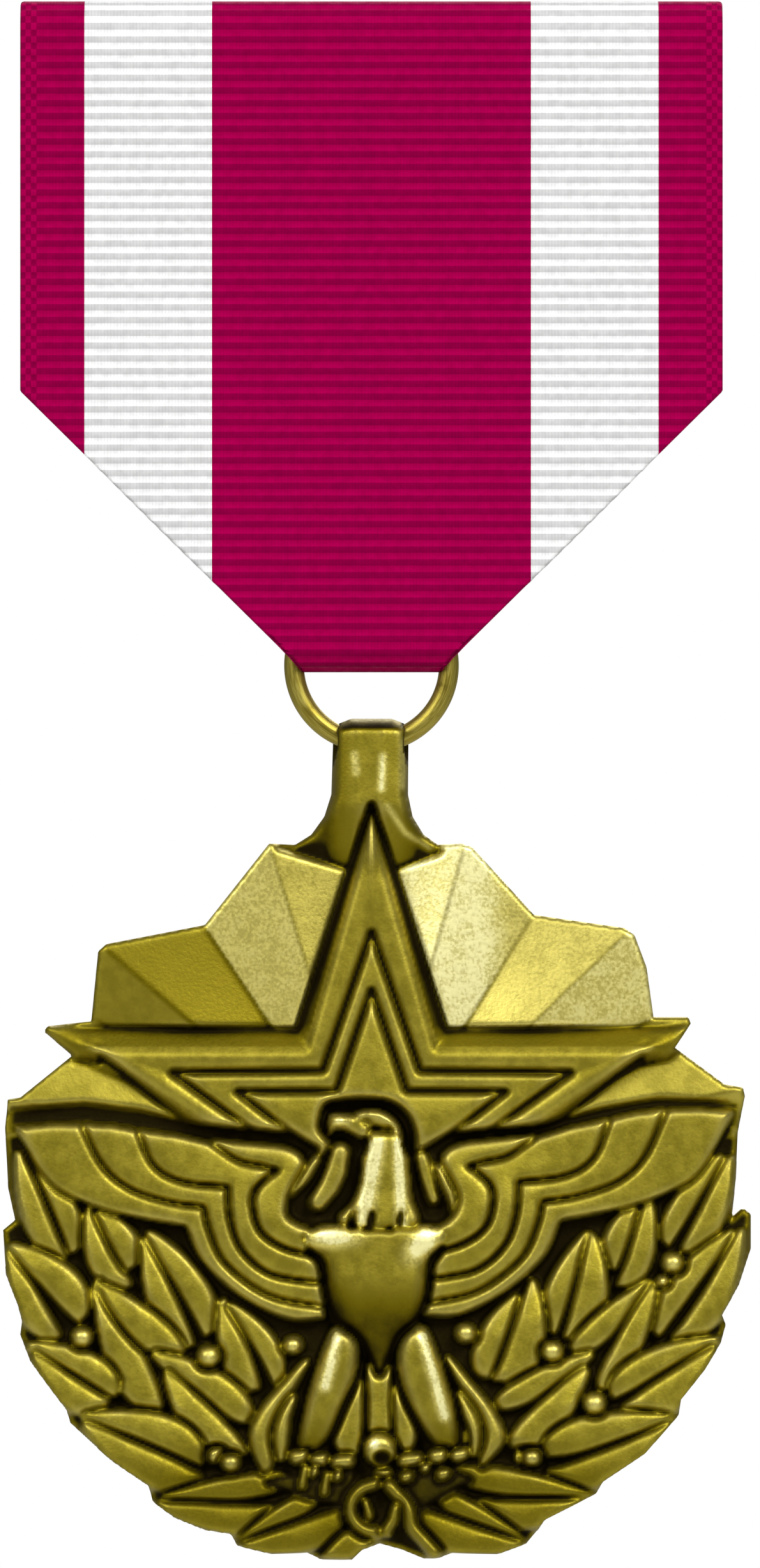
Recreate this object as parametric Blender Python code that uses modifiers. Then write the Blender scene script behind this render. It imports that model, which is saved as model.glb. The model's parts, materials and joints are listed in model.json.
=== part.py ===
"""Military service medal: a ribbon on a slot brooch, a wire ring and a struck bronze pendant.

The medal hangs as it is worn. +Z is up, the front faces -Y, and +X is the viewer's right. The origin is the
middle of the flat back of the brooch's folded hem, the strip that rests against the cloth. Sizes below are in
millimetres and become metres through MM.
"""

import math

import bmesh
import bpy
from mathutils import Matrix, Vector

MM = 0.001
GAP = 0.1  # between pieces that are soldered together

# Ribbon: its woven width drives the size of the whole medal.
RIBBON_WIDTH = 34.925
RIBBON_LENGTH = 33.3
RIBBON_STRAIGHT = 19.3
RIBBON_TIP_WIDTH = 6.6
CLOTH = 0.42
EYE_INNER_R = 1.0
EYE_OUTER_R = EYE_INNER_R + CLOTH
EYE_HALF_WIDTH = 16.6
POCKET_HALF = 1.08  # half the space between the two layers where they part round the ring
POCKET_TOP = 5.0  # height of the parted stretch above the ring's centre
POCKET_FADE = 4.0

# Brooch: 0.5 mm brass sheet with a raised rail that carries the ribbon.
SHEET = 0.5
BROOCH_HALF_WIDTH = 17.35
BODY_BOTTOM = -0.8
BODY_TOP = 8.5
HEM_HALF_HEIGHT = 0.8
HEM_HALF_WIDTH = 15.5
RAIL_HEIGHT = 1.5
RAIL_THICK = 0.8
RAIL_Y = -0.55 - EYE_OUTER_R
RAIL_Z = 10.15
CORNER_CUT = 1.0

# Pin and its safety catch, on the back of the brooch.
PIN_Y = 1.6
PIN_Z = 4.2
PIN_R = 0.45
HINGE_X = -12.5
CATCH_X = 12.5
PIN_EYE_R = 0.95
PIN_EYE_HALF = 0.8
PIN_TIP_X = 15.6
RIVET_R = 0.4
RIVET_CLEAR = 0.06
EAR_INNER = 0.9
EAR_THICK = 0.4
EAR_R = 1.3
CATCH_LENGTH = 2.2
HOUSING_R = 1.6
HOUSING_BORE_R = 1.22
ROTOR_R = 1.14
ROTOR_BORE_R = 0.62
CATCH_MOUTH = 1.06
TAB_REACH = 1.95

# Suspension ring.
WIRE_R = 0.495
RING_R = 3.855
RING_RISE = 0.38  # ring's centre above the ribbon's lower edge
RING_TILT_RISE = 0.26  # tilt axis above the ring's centre

# Pendant: heights are measured forwards from its flat back.
PENDANT_DROP = 26.04  # from the ring's centre to the pendant's centre
BACK_Y = -0.54
PLATE_H = 1.5
LUG_H = 2.7
LUG_BORE_R = 0.6
LUG_FLARE = 0.5
LUG_HALF_WIDTH = 1.85
STAR_CENTRE = (0.0, 3.2)
FAN_CENTRE = (0.0, 0.5)

RIBBON_TOP_Z = RAIL_Z + EYE_OUTER_R
RIBBON_FRONT_Y = RAIL_Y - EYE_OUTER_R
RIBBON_BOTTOM_Z = RIBBON_TOP_Z - RIBBON_LENGTH
RING_Z = RIBBON_BOTTOM_Z + RING_RISE
RING_Y = RIBBON_FRONT_Y + CLOTH + POCKET_HALF
PENDANT_Z = RING_Z - PENDANT_DROP

# The pendant's outline round its centre, clockwise from the lug's left foot.
OUTLINE = (
    (-3.8, 17.1), (3.2, 17.15), (4.5, 17.15), (5.0, 17.0), (8.1, 13.6), (12.6, 12.95), (13.1, 12.6),
    (13.7, 11.0), (14.05, 8.5), (15.8, 8.5), (15.9, 8.2), (15.1, 7.0), (17.6, 5.15), (18.5, 5.0),
    (18.6, 4.6), (18.25, 2.8), (18.15, 0.5), (17.95, -1.5), (18.5, -1.0), (18.9, -1.3), (18.9, -3.0),
    (18.3, -4.8), (17.45, -6.3), (17.65, -6.8), (17.4, -7.7), (16.6, -9.0), (15.4, -10.5), (15.3, -11.3),
    (13.6, -13.2), (11.5, -14.6), (11.2, -15.2), (8.6, -16.5), (8.3, -17.0), (7.7, -17.7), (6.3, -18.2),
    (4.0, -18.15), (3.4, -18.4), (2.6, -18.45), (1.5, -18.0), (0.4, -17.7), (-0.5, -18.0), (-1.0, -18.5),
    (-2.5, -18.5), (-3.2, -18.15), (-5.0, -18.2), (-6.7, -17.8), (-7.0, -17.2), (-8.3, -17.0),
    (-9.8, -16.4), (-10.9, -15.6), (-11.1, -14.8), (-13.0, -13.5), (-15.0, -11.7), (-15.2, -11.0),
    (-17.0, -8.6), (-17.5, -7.3), (-17.4, -6.6), (-17.6, -5.8), (-18.2, -4.3), (-18.35, -2.1),
    (-17.75, -1.6), (-18.1, 0.0), (-18.25, 3.0), (-18.1, 4.4), (-17.5, 4.5), (-14.9, 6.6), (-16.3, 7.8),
    (-16.15, 8.05), (-13.95, 8.3), (-13.6, 11.8), (-13.2, 12.15), (-8.3, 13.1), (-5.1, 17.15),
)
LUG_OUTLINE = (
    (-3.8, 16.0), (-3.8, 17.1), (-2.9, 17.7), (-2.3, 18.5), (-2.0, 19.5), (-1.9, 22.9), (-1.6, 23.15),
    (-1.0, 23.38), (1.0, 23.38), (1.6, 23.15), (1.85, 22.9), (1.8, 20.0), (1.95, 18.8), (2.4, 17.8),
    (3.2, 17.15), (3.2, 16.0),
)
# Rays: the rim of the fan behind the star, with ridges (high) and valleys (low).
FAN_RIM = (
    (-1.0, 16.7, 1.7), (1.0, 16.7, 1.7), (4.5, 16.9, 2.3), (8.0, 13.5, 1.7), (12.7, 12.7, 2.3),
    (13.9, 8.4, 1.8), (15.2, 6.8, 1.7), (17.6, 4.9, 2.2), (17.2, 3.5, 1.7), (-17.0, 3.2, 1.7),
    (-17.4, 4.4, 2.2), (-14.9, 6.4, 1.7), (-13.8, 8.2, 1.8), (-13.2, 11.9, 2.3), (-8.3, 13.0, 1.7),
    (-5.0, 16.9, 2.3),
)
# Star: apex, inner corner and tip of the upper right, then the lower edge that runs in under the eagle.
STAR_RIM = (
    (0.0, 18.78), (3.3, 7.2), (15.9, 8.2), (8.1, 2.8), (4.2, 0.4), (-4.2, 0.4), (-8.1, 2.8), (-16.1, 8.0),
    (-3.4, 7.1),
)
# Star profile from rim to middle: share of the rim's distance from the centre, and height.
STAR_STEPS = (
    (1.04, 1.0), (1.0, 2.3), (0.9, 2.75), (0.68, 2.7), (0.63, 2.35), (0.58, 2.75), (0.45, 2.7), (0.4, 2.35),
    (0.35, 2.75), (0.05, 2.8),
)
# Left wing: five edges from wing tip to breast; each feather lies between two neighbouring edges.
WING_EDGES = (
    ((-8.0, 2.5), (-6.0, 2.35), (-4.0, 2.05), (-3.2, 1.3), (-3.9, 0.2), (-4.2, -0.7), (-3.9, -1.5),
     (-3.0, -1.9), (-1.2, -2.2)),
    ((-7.9, 2.35), (-6.9, 1.55), (-5.6, 1.2), (-4.65, 0.9), (-5.75, 0.0), (-5.85, -1.0), (-5.45, -2.1),
     (-4.3, -2.9), (-2.4, -3.3)),
    ((-11.35, 2.6), (-10.6, 1.05), (-9.0, 0.3), (-7.1, 0.15), (-7.0, -1.2), (-6.7, -2.4), (-6.0, -3.5),
     (-4.5, -4.35), (-2.4, -4.6)),
    ((-14.2, 2.95), (-13.0, 0.9), (-10.9, -0.4), (-8.3, -0.8), (-8.05, -2.0), (-7.5, -3.2), (-6.7, -4.3),
     (-4.8, -5.4), (-2.4, -5.8)),
    ((-17.7, 3.2), (-15.9, 0.3), (-12.6, -1.3), (-9.3, -1.85), (-8.9, -2.8), (-8.3, -3.9), (-7.2, -5.0),
     (-5.2, -6.2), (-2.4, -6.5)),
)
# Laurel leaves: base, tip, bow of the midrib, and the greatest width to its left and right.
LEAVES = (
    ((9.2, -7.5), (11.0, -2.2), 0.0, 1.0, 1.3),
    ((12.0, -4.7), (13.8, -0.5), 0.0, 1.15, 1.1),
    ((15.1, -2.9), (17.6, 1.9), 0.0, 1.4, 1.45),
    ((14.5, -7.2), (18.4, -2.2), -0.15, 1.2, 1.6),
    ((11.2, -9.2), (14.0, -4.7), 0.0, 1.4, 1.05),
    ((6.0, -9.3), (7.9, -4.6), 0.0, 1.05, 1.35),
    ((6.5, -11.3), (11.1, -8.3), -0.2, 1.1, 1.4),
    ((12.2, -10.7), (17.3, -7.7), 0.0, 1.25, 1.35),
    ((8.8, -13.4), (15.2, -11.6), -0.25, 1.3, 1.5),
    ((3.9, -14.7), (11.0, -15.4), 0.0, 0.95, 1.65),
    ((2.6, -15.8), (7.9, -17.5), -0.1, 0.95, 1.5),
    ((5.2, -13.3), (3.8, -8.7), -0.85, 0.5, 0.65),
    ((-9.1, -7.6), (-11.2, -2.2), 0.0, 1.05, 1.45),
    ((-12.0, -4.8), (-13.9, -0.9), 0.0, 1.1, 1.1),
    ((-15.1, -3.3), (-17.5, 1.6), 0.0, 1.1, 1.1),
    ((-15.0, -7.1), (-18.2, -2.8), 0.0, 1.2, 1.5),
    ((-10.9, -10.6), (-13.7, -4.7), -0.3, 1.3, 1.7),
    ((-5.5, -9.8), (-7.2, -5.7), -0.2, 1.1, 1.25),
    ((-6.4, -12.0), (-10.8, -8.5), 0.0, 1.6, 1.15),
    ((-12.5, -10.5), (-17.2, -7.9), 0.0, 1.35, 1.0),
    ((-8.6, -13.8), (-14.5, -11.6), 0.0, 1.6, 1.5),
    ((-3.6, -15.1), (-10.4, -15.6), 0.2, 1.35, 1.05),
    ((-1.9, -15.6), (-6.4, -17.6), 0.1, 1.55, 0.7),
    ((-4.9, -13.9), (-3.2, -8.7), 0.6, 0.95, 0.45),
)
LEAF_STATIONS = (0.02, 0.12, 0.3, 0.5, 0.7, 0.86, 0.97)
LEAF_FLOOR = 0.6
LEAF_EDGE = 1.35
LEAF_CREST = 2.3
LEAF_RIB = 1.7
BERRIES = (
    (-14.4, -7.4, 0.5), (-8.1, -8.35, 0.52), (-3.9, -7.8, 0.4), (-7.7, -13.3, 0.38), (-7.0, -13.65, 0.42),
    (15.0, -3.7, 0.46), (9.0, -8.1, 0.48), (4.7, -7.2, 0.42), (11.1, -10.7, 0.5), (7.8, -13.4, 0.45),
)
# Eagle: centre across, centre up, centre height, half sizes across, up and forwards, and turn in degrees.
EAGLE = (
    (0.3, -3.9, 1.9, 2.5, 2.7, 1.5, 0),
    (-1.7, -2.5, 2.1, 1.3, 0.9, 1.2, 10),
    (2.4, -2.7, 2.1, 1.3, 0.9, 1.2, -14),
    (0.7, 0.6, 2.2, 1.0, 2.8, 1.1, 3),
    (0.5, 3.1, 2.3, 1.05, 0.9, 1.0, 20),
    (-1.2, 3.2, 2.2, 1.0, 0.5, 0.7, 0),
    (-1.95, -9.6, 1.6, 1.0, 3.5, 1.3, -12),
    (2.5, -9.6, 1.6, 1.1, 3.5, 1.3, 15),
    (-1.15, -11.4, 1.5, 0.5, 2.0, 0.8, -6),
    (1.6, -11.3, 1.5, 0.45, 1.8, 0.8, 12),
    (0.35, -10.4, 1.5, 0.45, 2.1, 0.8, 0),
)
CLAWS = (
    (-3.6, -13.4, 0.42), (-2.5, -13.6, 0.4), (-1.4, -13.6, 0.45), (0.35, -14.2, 0.4), (1.9, -13.5, 0.5),
    (3.2, -13.5, 0.4), (4.35, -13.3, 0.35),
)
KNOTS = ((0.4, -13.4, 0.75, 0.35), (0.4, -16.0, 1.25, 0.4))

BRONZE = ((0.42, 0.34, 0.09), 0.38, 1.0)
BRASS = ((0.55, 0.42, 0.14), 0.35, 1.0)
STEEL = ((0.55, 0.55, 0.56), 0.3, 1.0)
RUBY = ((0.36, 0.0, 0.07), 0.85, 0.0)


# ---------------------------------------------------------------- helpers


def clear_scene():
    for obj in list(bpy.data.objects):
        bpy.data.objects.remove(obj, do_unlink=True)


def new_collection(name):
    collection = bpy.data.collections.new(name)
    bpy.context.scene.collection.children.link(collection)
    return collection


def material(name, look):
    colour, roughness, metallic = look
    made = bpy.data.materials.new(name)
    made.use_nodes = True
    shader = made.node_tree.nodes["Principled BSDF"]
    shader.inputs["Base Color"].default_value = (*colour, 1.0)
    shader.inputs["Roughness"].default_value = roughness
    shader.inputs["Metallic"].default_value = metallic
    return made


def add_object(name, data, collection):
    obj = bpy.data.objects.new(name, data)
    collection.objects.link(obj)
    return obj


def from_bmesh(name, bm, collection):
    """Turn a bmesh in millimetres into an object in metres with its faces pointing out."""
    bmesh.ops.scale(bm, vec=Vector((MM, MM, MM)), verts=bm.verts)
    bmesh.ops.recalc_face_normals(bm, faces=bm.faces)
    mesh = bpy.data.meshes.new(name)
    bm.to_mesh(mesh)
    bm.free()
    return add_object(name, mesh, collection)


def bake(obj, weld=0.0000005):
    """Replace an object's data by its evaluated mesh, with loose caps welded."""
    depsgraph = bpy.context.evaluated_depsgraph_get()
    mesh = bpy.data.meshes.new_from_object(obj.evaluated_get(depsgraph))
    bm = bmesh.new()
    bm.from_mesh(mesh)
    bmesh.ops.remove_doubles(bm, verts=bm.verts, dist=weld)
    bmesh.ops.recalc_face_normals(bm, faces=bm.faces)
    bm.to_mesh(mesh)
    bm.free()
    made = add_object(obj.name + "_mesh", mesh, obj.users_collection[0])
    made.matrix_world = obj.matrix_world
    name = obj.name
    bpy.data.objects.remove(obj, do_unlink=True)
    made.name = name
    return made


def box(name, low, high, collection):
    """Box between two corners."""
    bm = bmesh.new()
    bmesh.ops.create_cube(bm, size=1.0)
    size = [b - a for a, b in zip(low, high)]
    middle = [(a + b) / 2 for a, b in zip(low, high)]
    bmesh.ops.scale(bm, vec=Vector(size), verts=bm.verts)
    bmesh.ops.translate(bm, vec=Vector(middle), verts=bm.verts)
    return from_bmesh(name, bm, collection)


def cylinder(name, radius, half_length, segments, collection):
    """Cylinder about Z, centred on the origin."""
    bm = bmesh.new()
    bmesh.ops.create_cone(
        bm, cap_ends=True, segments=segments, radius1=radius, radius2=radius, depth=2 * half_length
    )
    return from_bmesh(name, bm, collection)


def ellipsoid(name, centre, radii, turn_deg, collection, segments=12, rings=7):
    """Ellipsoid at (across, up, height) on the pendant, turned in its plane."""
    across, up, height = centre
    bm = bmesh.new()
    bmesh.ops.create_uvsphere(bm, u_segments=segments, v_segments=rings, radius=1.0)
    bmesh.ops.scale(bm, vec=Vector((radii[0], radii[2], radii[1])), verts=bm.verts)
    bmesh.ops.rotate(bm, matrix=Matrix.Rotation(math.radians(turn_deg), 3, "Y"), verts=bm.verts)
    bmesh.ops.translate(bm, vec=Vector((across, -height, up)), verts=bm.verts)
    return from_bmesh(name, bm, collection)


def turned(name, profile, steps, collection):
    """Solid of revolution about Z from (radius, height) points that run from the top down."""
    mesh = bpy.data.meshes.new(name)
    points = [(radius * MM, 0.0, height * MM) for radius, height in profile]
    edges = [(i, i + 1) for i in range(len(points) - 1)]
    mesh.from_pydata(points, edges, [])
    obj = add_object(name, mesh, collection)
    screw = obj.modifiers.new("Turn", "SCREW")
    screw.steps = steps
    screw.render_steps = steps
    screw.use_merge_vertices = True
    screw.merge_threshold = 0.000001
    return bake(obj)


def flat_shape(name, outlines, half_thick, collection):
    """Plate from closed outlines in the object's XY plane, thickened both ways; inner outlines are holes."""
    curve = bpy.data.curves.new(name, "CURVE")
    curve.dimensions = "2D"
    curve.fill_mode = "BOTH"
    curve.extrude = half_thick * MM
    for outline in outlines:
        spline = curve.splines.new("POLY")
        spline.points.add(len(outline) - 1)
        for point, (x, y) in zip(spline.points, outline):
            point.co = (x * MM, y * MM, 0.0, 1.0)
        spline.use_cyclic_u = True
    return add_object(name, curve, collection)


def upright(obj, y):
    """Stand a flat shape up, so that its outline lies in the XZ plane at depth y."""
    obj.rotation_euler = (math.pi / 2, 0.0, 0.0)
    obj.location = (0.0, y * MM, 0.0)
    bpy.context.view_layer.update()
    return apply_place(bake(obj))


def sideways(obj):
    """Turn a flat shape drawn as (depth, height) so that its thickness runs along X."""
    obj.rotation_euler = (math.pi / 2, 0.0, math.pi / 2)
    bpy.context.view_layer.update()
    return apply_place(bake(obj))


def apply_place(obj):
    obj.data.transform(obj.matrix_world)
    obj.matrix_world = Matrix()
    return obj


def combine(target, others, operation, solver="EXACT"):
    """Apply Booleans to a target one after the other and remove the operands."""
    for other in others:
        boolean = target.modifiers.new(operation.title(), "BOOLEAN")
        boolean.operation = operation
        boolean.solver = solver
        boolean.object = other
    made = bake(target)
    for other in others:
        bpy.data.objects.remove(other, do_unlink=True)
    return made


def arc(centre, radius, start_deg, end_deg, count):
    """Points on an arc, both ends included."""
    angles = [math.radians(start_deg + (end_deg - start_deg) * i / count) for i in range(count + 1)]
    return [(centre[0] + radius * math.cos(a), centre[1] + radius * math.sin(a)) for a in angles]


def loft(name, rings, collection):
    """Closed solid through rings of equal point count, capped at both ends."""
    bm = bmesh.new()
    loops = [[bm.verts.new(point) for point in ring] for ring in rings]
    count = len(rings[0])
    for near, far in zip(loops, loops[1:]):
        for i in range(count):
            j = (i + 1) % count
            bm.faces.new((near[i], near[j], far[j], far[i]))
    bm.faces.new(loops[0])
    bm.faces.new(loops[-1])
    bmesh.ops.triangulate(bm, faces=bm.faces)
    return from_bmesh(name, bm, collection)


def finish(obj, name, origin, collection, look):
    """Name a finished piece, put its origin on its axis, and give it its material."""
    shift = Vector(origin) * MM
    obj.data.transform(Matrix.Translation(-shift))
    obj.location = shift
    for other in list(obj.users_collection):
        other.objects.unlink(obj)
    collection.objects.link(obj)
    obj.name = name
    obj.data.name = name
    obj.data.materials.clear()
    obj.data.materials.append(look)
    obj.data.shade_smooth()
    obj.data.set_sharp_from_angle(angle=math.radians(30))
    return obj


# ---------------------------------------------------------------- brooch


def make_brooch_plate(work):
    """Sheet body with cut corners, a folded hem, and a rail carried forwards by two cheeks."""
    half, cut = BROOCH_HALF_WIDTH, CORNER_CUT
    outline = (
        (-half, BODY_BOTTOM + cut), (-half + cut, BODY_BOTTOM), (half - cut, BODY_BOTTOM),
        (half, BODY_BOTTOM + cut), (half, BODY_TOP), (-half, BODY_TOP),
    )
    body = upright(flat_shape("body", [outline], SHEET / 2, work), -1.5 * SHEET)
    overlap = 0.05
    hem = box(
        "hem",
        (-HEM_HALF_WIDTH, -SHEET - overlap, -HEM_HALF_HEIGHT + overlap),
        (HEM_HALF_WIDTH, 0.0, HEM_HALF_HEIGHT),
        work,
    )
    rail = box(
        "rail",
        (-half + overlap, RAIL_Y - RAIL_THICK / 2, RAIL_Z - RAIL_HEIGHT / 2),
        (half - overlap, RAIL_Y + RAIL_THICK / 2, RAIL_Z + RAIL_HEIGHT / 2),
        work,
    )
    cheeks = [
        box(
            "cheek",
            (min(side * half, side * (half - SHEET)), RAIL_Y - RAIL_THICK / 2, BODY_TOP - 1.5),
            (max(side * half, side * (half - SHEET)), -SHEET, RAIL_Z + RAIL_HEIGHT / 2),
            work,
        )
        for side in (-1, 1)
    ]
    return combine(body, [hem, rail, *cheeks], "UNION")


def make_hinge_bracket(work):
    """Foot soldered to the plate, with a bored ear above and below the pin's eye."""
    foot_y = -SHEET + GAP
    foot_half_z = EAR_INNER + EAR_THICK + 0.2
    foot = box(
        "foot",
        (HINGE_X - EAR_R - 0.2, foot_y, PIN_Z - foot_half_z),
        (HINGE_X + EAR_R + 0.2, foot_y + EAR_THICK, PIN_Z + foot_half_z),
        work,
    )
    root = foot_y + 0.1 - PIN_Y
    outline = [(EAR_R, root), *arc((0, 0), EAR_R, 0, 180, 16), (-EAR_R, root)]
    hole = arc((0, 0), RIVET_R + RIVET_CLEAR, 0, 337.5, 15)
    ears = []
    for side in (-1, 1):
        ear = flat_shape("ear", [outline, hole], EAR_THICK / 2, work)
        ear.location = Vector((HINGE_X, PIN_Y, PIN_Z + side * (EAR_INNER + EAR_THICK / 2))) * MM
        bpy.context.view_layer.update()
        ears.append(apply_place(bake(ear)))
    return combine(foot, ears, "UNION")


def make_hinge_rivet(work):
    """Shank through both ears with a domed head at each end."""
    inner = EAR_INNER + EAR_THICK + 0.05
    head_r, head_h = 0.72, 0.35
    upper = [(0.0, inner + head_h), (head_r * 0.6, inner + head_h * 0.9), (head_r, inner + head_h * 0.3)]
    upper += [(head_r, inner), (RIVET_R, inner)]
    lower = [(radius, -height) for radius, height in reversed(upper)]
    rivet = turned("rivet", upper + lower, 16, work)
    rivet.location = Vector((HINGE_X, PIN_Y, PIN_Z)) * MM
    bpy.context.view_layer.update()
    return apply_place(rivet)


def make_pin_stem(work):
    """Needle with an eye round the rivet and a long ground point."""
    tip = PIN_TIP_X - HINGE_X
    start = PIN_EYE_R * 0.8
    profile = [(0.0, tip), (0.12, tip - 0.15), (PIN_R, tip - 4.0), (PIN_R, start), (0.0, start)]
    stem = turned("stem", profile, 14, work)
    stem.rotation_euler = (0.0, math.pi / 2, 0.0)
    bpy.context.view_layer.update()
    stem = apply_place(stem)
    eye = cylinder("eye", PIN_EYE_R, PIN_EYE_HALF, 24, work)
    stem = combine(stem, [eye], "UNION")
    hole = cylinder("hole", RIVET_R + RIVET_CLEAR, PIN_EYE_HALF + 1.0, 16, work)
    stem = combine(stem, [hole], "DIFFERENCE")
    stem.location = Vector((HINGE_X, PIN_Y, PIN_Z)) * MM
    bpy.context.view_layer.update()
    return apply_place(stem)


def c_outline(outer_r, inner_r, mouth):
    """C shape about the origin as (depth, height) points, with its mouth towards +Y."""
    outer_open = math.degrees(math.asin(mouth / 2 / outer_r))
    inner_open = math.degrees(math.asin(mouth / 2 / inner_r))
    outer = arc((0, 0), outer_r, outer_open, 360 - outer_open, 24)
    inner = arc((0, 0), inner_r, 360 - inner_open, inner_open, 20)
    return outer + inner


def make_catch_housing(work):
    """Open C round the pin's end, on a foot soldered to the plate."""
    outline = [(PIN_Y + y, PIN_Z + z) for y, z in c_outline(HOUSING_R, HOUSING_BORE_R, CATCH_MOUTH)]
    housing = sideways(flat_shape("housing", [outline], CATCH_LENGTH / 2, work))
    housing.location.x = CATCH_X * MM
    bpy.context.view_layer.update()
    housing = apply_place(housing)
    foot = box(
        "foot",
        (CATCH_X - CATCH_LENGTH / 2 - 0.3, -SHEET + GAP, PIN_Z - 1.5),
        (CATCH_X + CATCH_LENGTH / 2 + 0.3, PIN_Y - HOUSING_R + 0.25, PIN_Z + 1.5),
        work,
    )
    return combine(housing, [foot], "UNION")


def make_catch_rotor(work):
    """C that turns inside the housing, with a thumb tab beyond its end; its mouth is open at rest."""
    overhang = 0.75
    outline = [(PIN_Y + y, PIN_Z + z) for y, z in c_outline(ROTOR_R, ROTOR_BORE_R, CATCH_MOUTH)]
    rotor = sideways(flat_shape("rotor", [outline], (CATCH_LENGTH + overhang) / 2, work))
    rotor.location.x = (CATCH_X + overhang / 2) * MM
    bpy.context.view_layer.update()
    rotor = apply_place(rotor)
    tab_x = CATCH_X + CATCH_LENGTH / 2 + 0.15
    tab = box(
        "tab",
        (tab_x, PIN_Y - 0.35, PIN_Z - TAB_REACH),
        (tab_x + overhang - 0.2, PIN_Y + 0.35, PIN_Z - ROTOR_BORE_R - 0.15),
        work,
    )
    return combine(rotor, [tab], "UNION")


# ---------------------------------------------------------------- ribbon and ring


def make_ribbon(work):
    """One strip of ribbon: round the rail, down, round the ring in a flat fold, and up behind itself."""
    fold_r = POCKET_HALF + CLOTH
    fold_z = RIBBON_BOTTOM_Z + fold_r
    pocket_z = RING_Z + POCKET_TOP
    front = RIBBON_FRONT_Y
    sewn_back = front + 2 * CLOTH + 0.05
    meet_z = pocket_z + POCKET_FADE
    outline = [(front, RAIL_Z)]
    outline += arc((RING_Y, fold_z), fold_r, 180, 360, 12)
    outline += [(RING_Y + fold_r, pocket_z), (sewn_back, meet_z)]
    eye_meet_deg = -180 + math.degrees(math.acos((RAIL_Y - sewn_back) / EYE_OUTER_R))
    outline += arc((RAIL_Y, RAIL_Z), EYE_OUTER_R, eye_meet_deg, 180, 20)[:-1]
    eye_hole = arc((RAIL_Y, RAIL_Z), EYE_INNER_R, 0, 345, 23)
    pocket = arc((RING_Y, fold_z), POCKET_HALF, 180, 360, 10)
    inner_front = front + CLOTH
    pocket += [(RING_Y + POCKET_HALF, pocket_z), (inner_front + 0.05, meet_z - 0.6), (inner_front, pocket_z)]
    ribbon = sideways(flat_shape("ribbon", [outline, eye_hole, pocket], RIBBON_WIDTH / 2 + 1.0, work))
    half, tip = RIBBON_WIDTH / 2, RIBBON_TIP_WIDTH / 2
    shoulder_z = RIBBON_TOP_Z - RIBBON_STRAIGHT
    taper = (
        (-half, RIBBON_TOP_Z + 1.0), (-half, shoulder_z), (-tip, RIBBON_BOTTOM_Z - 0.01),
        (tip, RIBBON_BOTTOM_Z - 0.01), (half, shoulder_z), (half, RIBBON_TOP_Z + 1.0),
    )
    mask = upright(flat_shape("taper", [taper], 4.0, work), RIBBON_FRONT_Y + 2.0)
    ribbon = combine(ribbon, [mask], "INTERSECT")
    cuts = [ribbon_top_strip(side, work) for side in (-1, 1)]
    cuts += [ribbon_fold_notch(side, work) for side in (-1, 1)]
    return combine(ribbon, cuts, "DIFFERENCE")


def ribbon_top_strip(side, work):
    """Space of one cheek: here only the front layer keeps the ribbon's full width."""
    edge = RIBBON_WIDTH / 2 + 1.0
    low_x, high_x = sorted((side * EYE_HALF_WIDTH, side * edge))
    return box(
        "strip",
        (low_x, RIBBON_FRONT_Y + CLOTH, RAIL_Z - 5.0),
        (high_x, RAIL_Y + EYE_OUTER_R + 1.0, RIBBON_TOP_Z + 1.0),
        work,
    )


def ribbon_fold_notch(side, work):
    """Space where the ring's wire leaves the fold."""
    wire_room = 0.72
    low_x, high_x = sorted((side * (RIBBON_TIP_WIDTH / 2 - 0.2), side * 6.0))
    return box(
        "notch",
        (low_x, RING_Y - wire_room, RIBBON_BOTTOM_Z - 1.0),
        (high_x, RING_Y + wire_room, RIBBON_BOTTOM_Z + POCKET_HALF + CLOTH),
        work,
    )


def make_ring(work):
    """Closed wire ring standing in the medal's plane."""
    bpy.ops.mesh.primitive_torus_add(
        major_segments=44,
        minor_segments=12,
        major_radius=RING_R * MM,
        minor_radius=WIRE_R * MM,
        rotation=(math.pi / 2, 0.0, 0.0),
        location=Vector((0.0, RING_Y, RING_Z)) * MM,
    )
    ring = bpy.context.object
    for other in list(ring.users_collection):
        other.objects.unlink(ring)
    work.objects.link(ring)
    return apply_place(ring)


# ---------------------------------------------------------------- pendant


def on_pendant(across, up, height):
    """Point in millimetres from the pendant's centre and its flat back."""
    return Vector((across, -height, up))


def leaf_fullness(t):
    """Share of a leaf's greatest width at t along it: blunt at the base, pointed at the tip."""
    return math.sin(math.pi * t**0.62) ** 0.8


def leaf(base, tip, bow, left, right, work):
    """Two raised lobes with a sunk midrib between them."""
    base, tip = Vector(base), Vector(tip)
    along = (tip - base).normalized()
    normal = Vector((-along.y, along.x))
    rings = []
    for t in LEAF_STATIONS:
        rib = base.lerp(tip, t) + normal * (bow * 4 * t * (1 - t))
        full = leaf_fullness(t)
        crest = LEAF_EDGE + (LEAF_CREST - LEAF_EDGE) * min(1.0, 1.4 * full)
        valley = LEAF_EDGE + (LEAF_RIB - LEAF_EDGE) * min(1.0, 1.4 * full)
        section = (
            (-right * full, LEAF_FLOOR), (-right * full, LEAF_EDGE), (-0.5 * right * full, crest),
            (0.0, valley),
            (0.5 * left * full, crest), (left * full, LEAF_EDGE), (left * full, LEAF_FLOOR),
        )
        rings.append([on_pendant(*(rib + normal * offset), height) for offset, height in section])
    return loft("leaf", rings, work)


def right_side(point):
    """The right wing mirrors the left one, set a little higher."""
    across, up = point
    return (0.1 - 1.01 * across, up + 0.1 - 0.02 * across)


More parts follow.
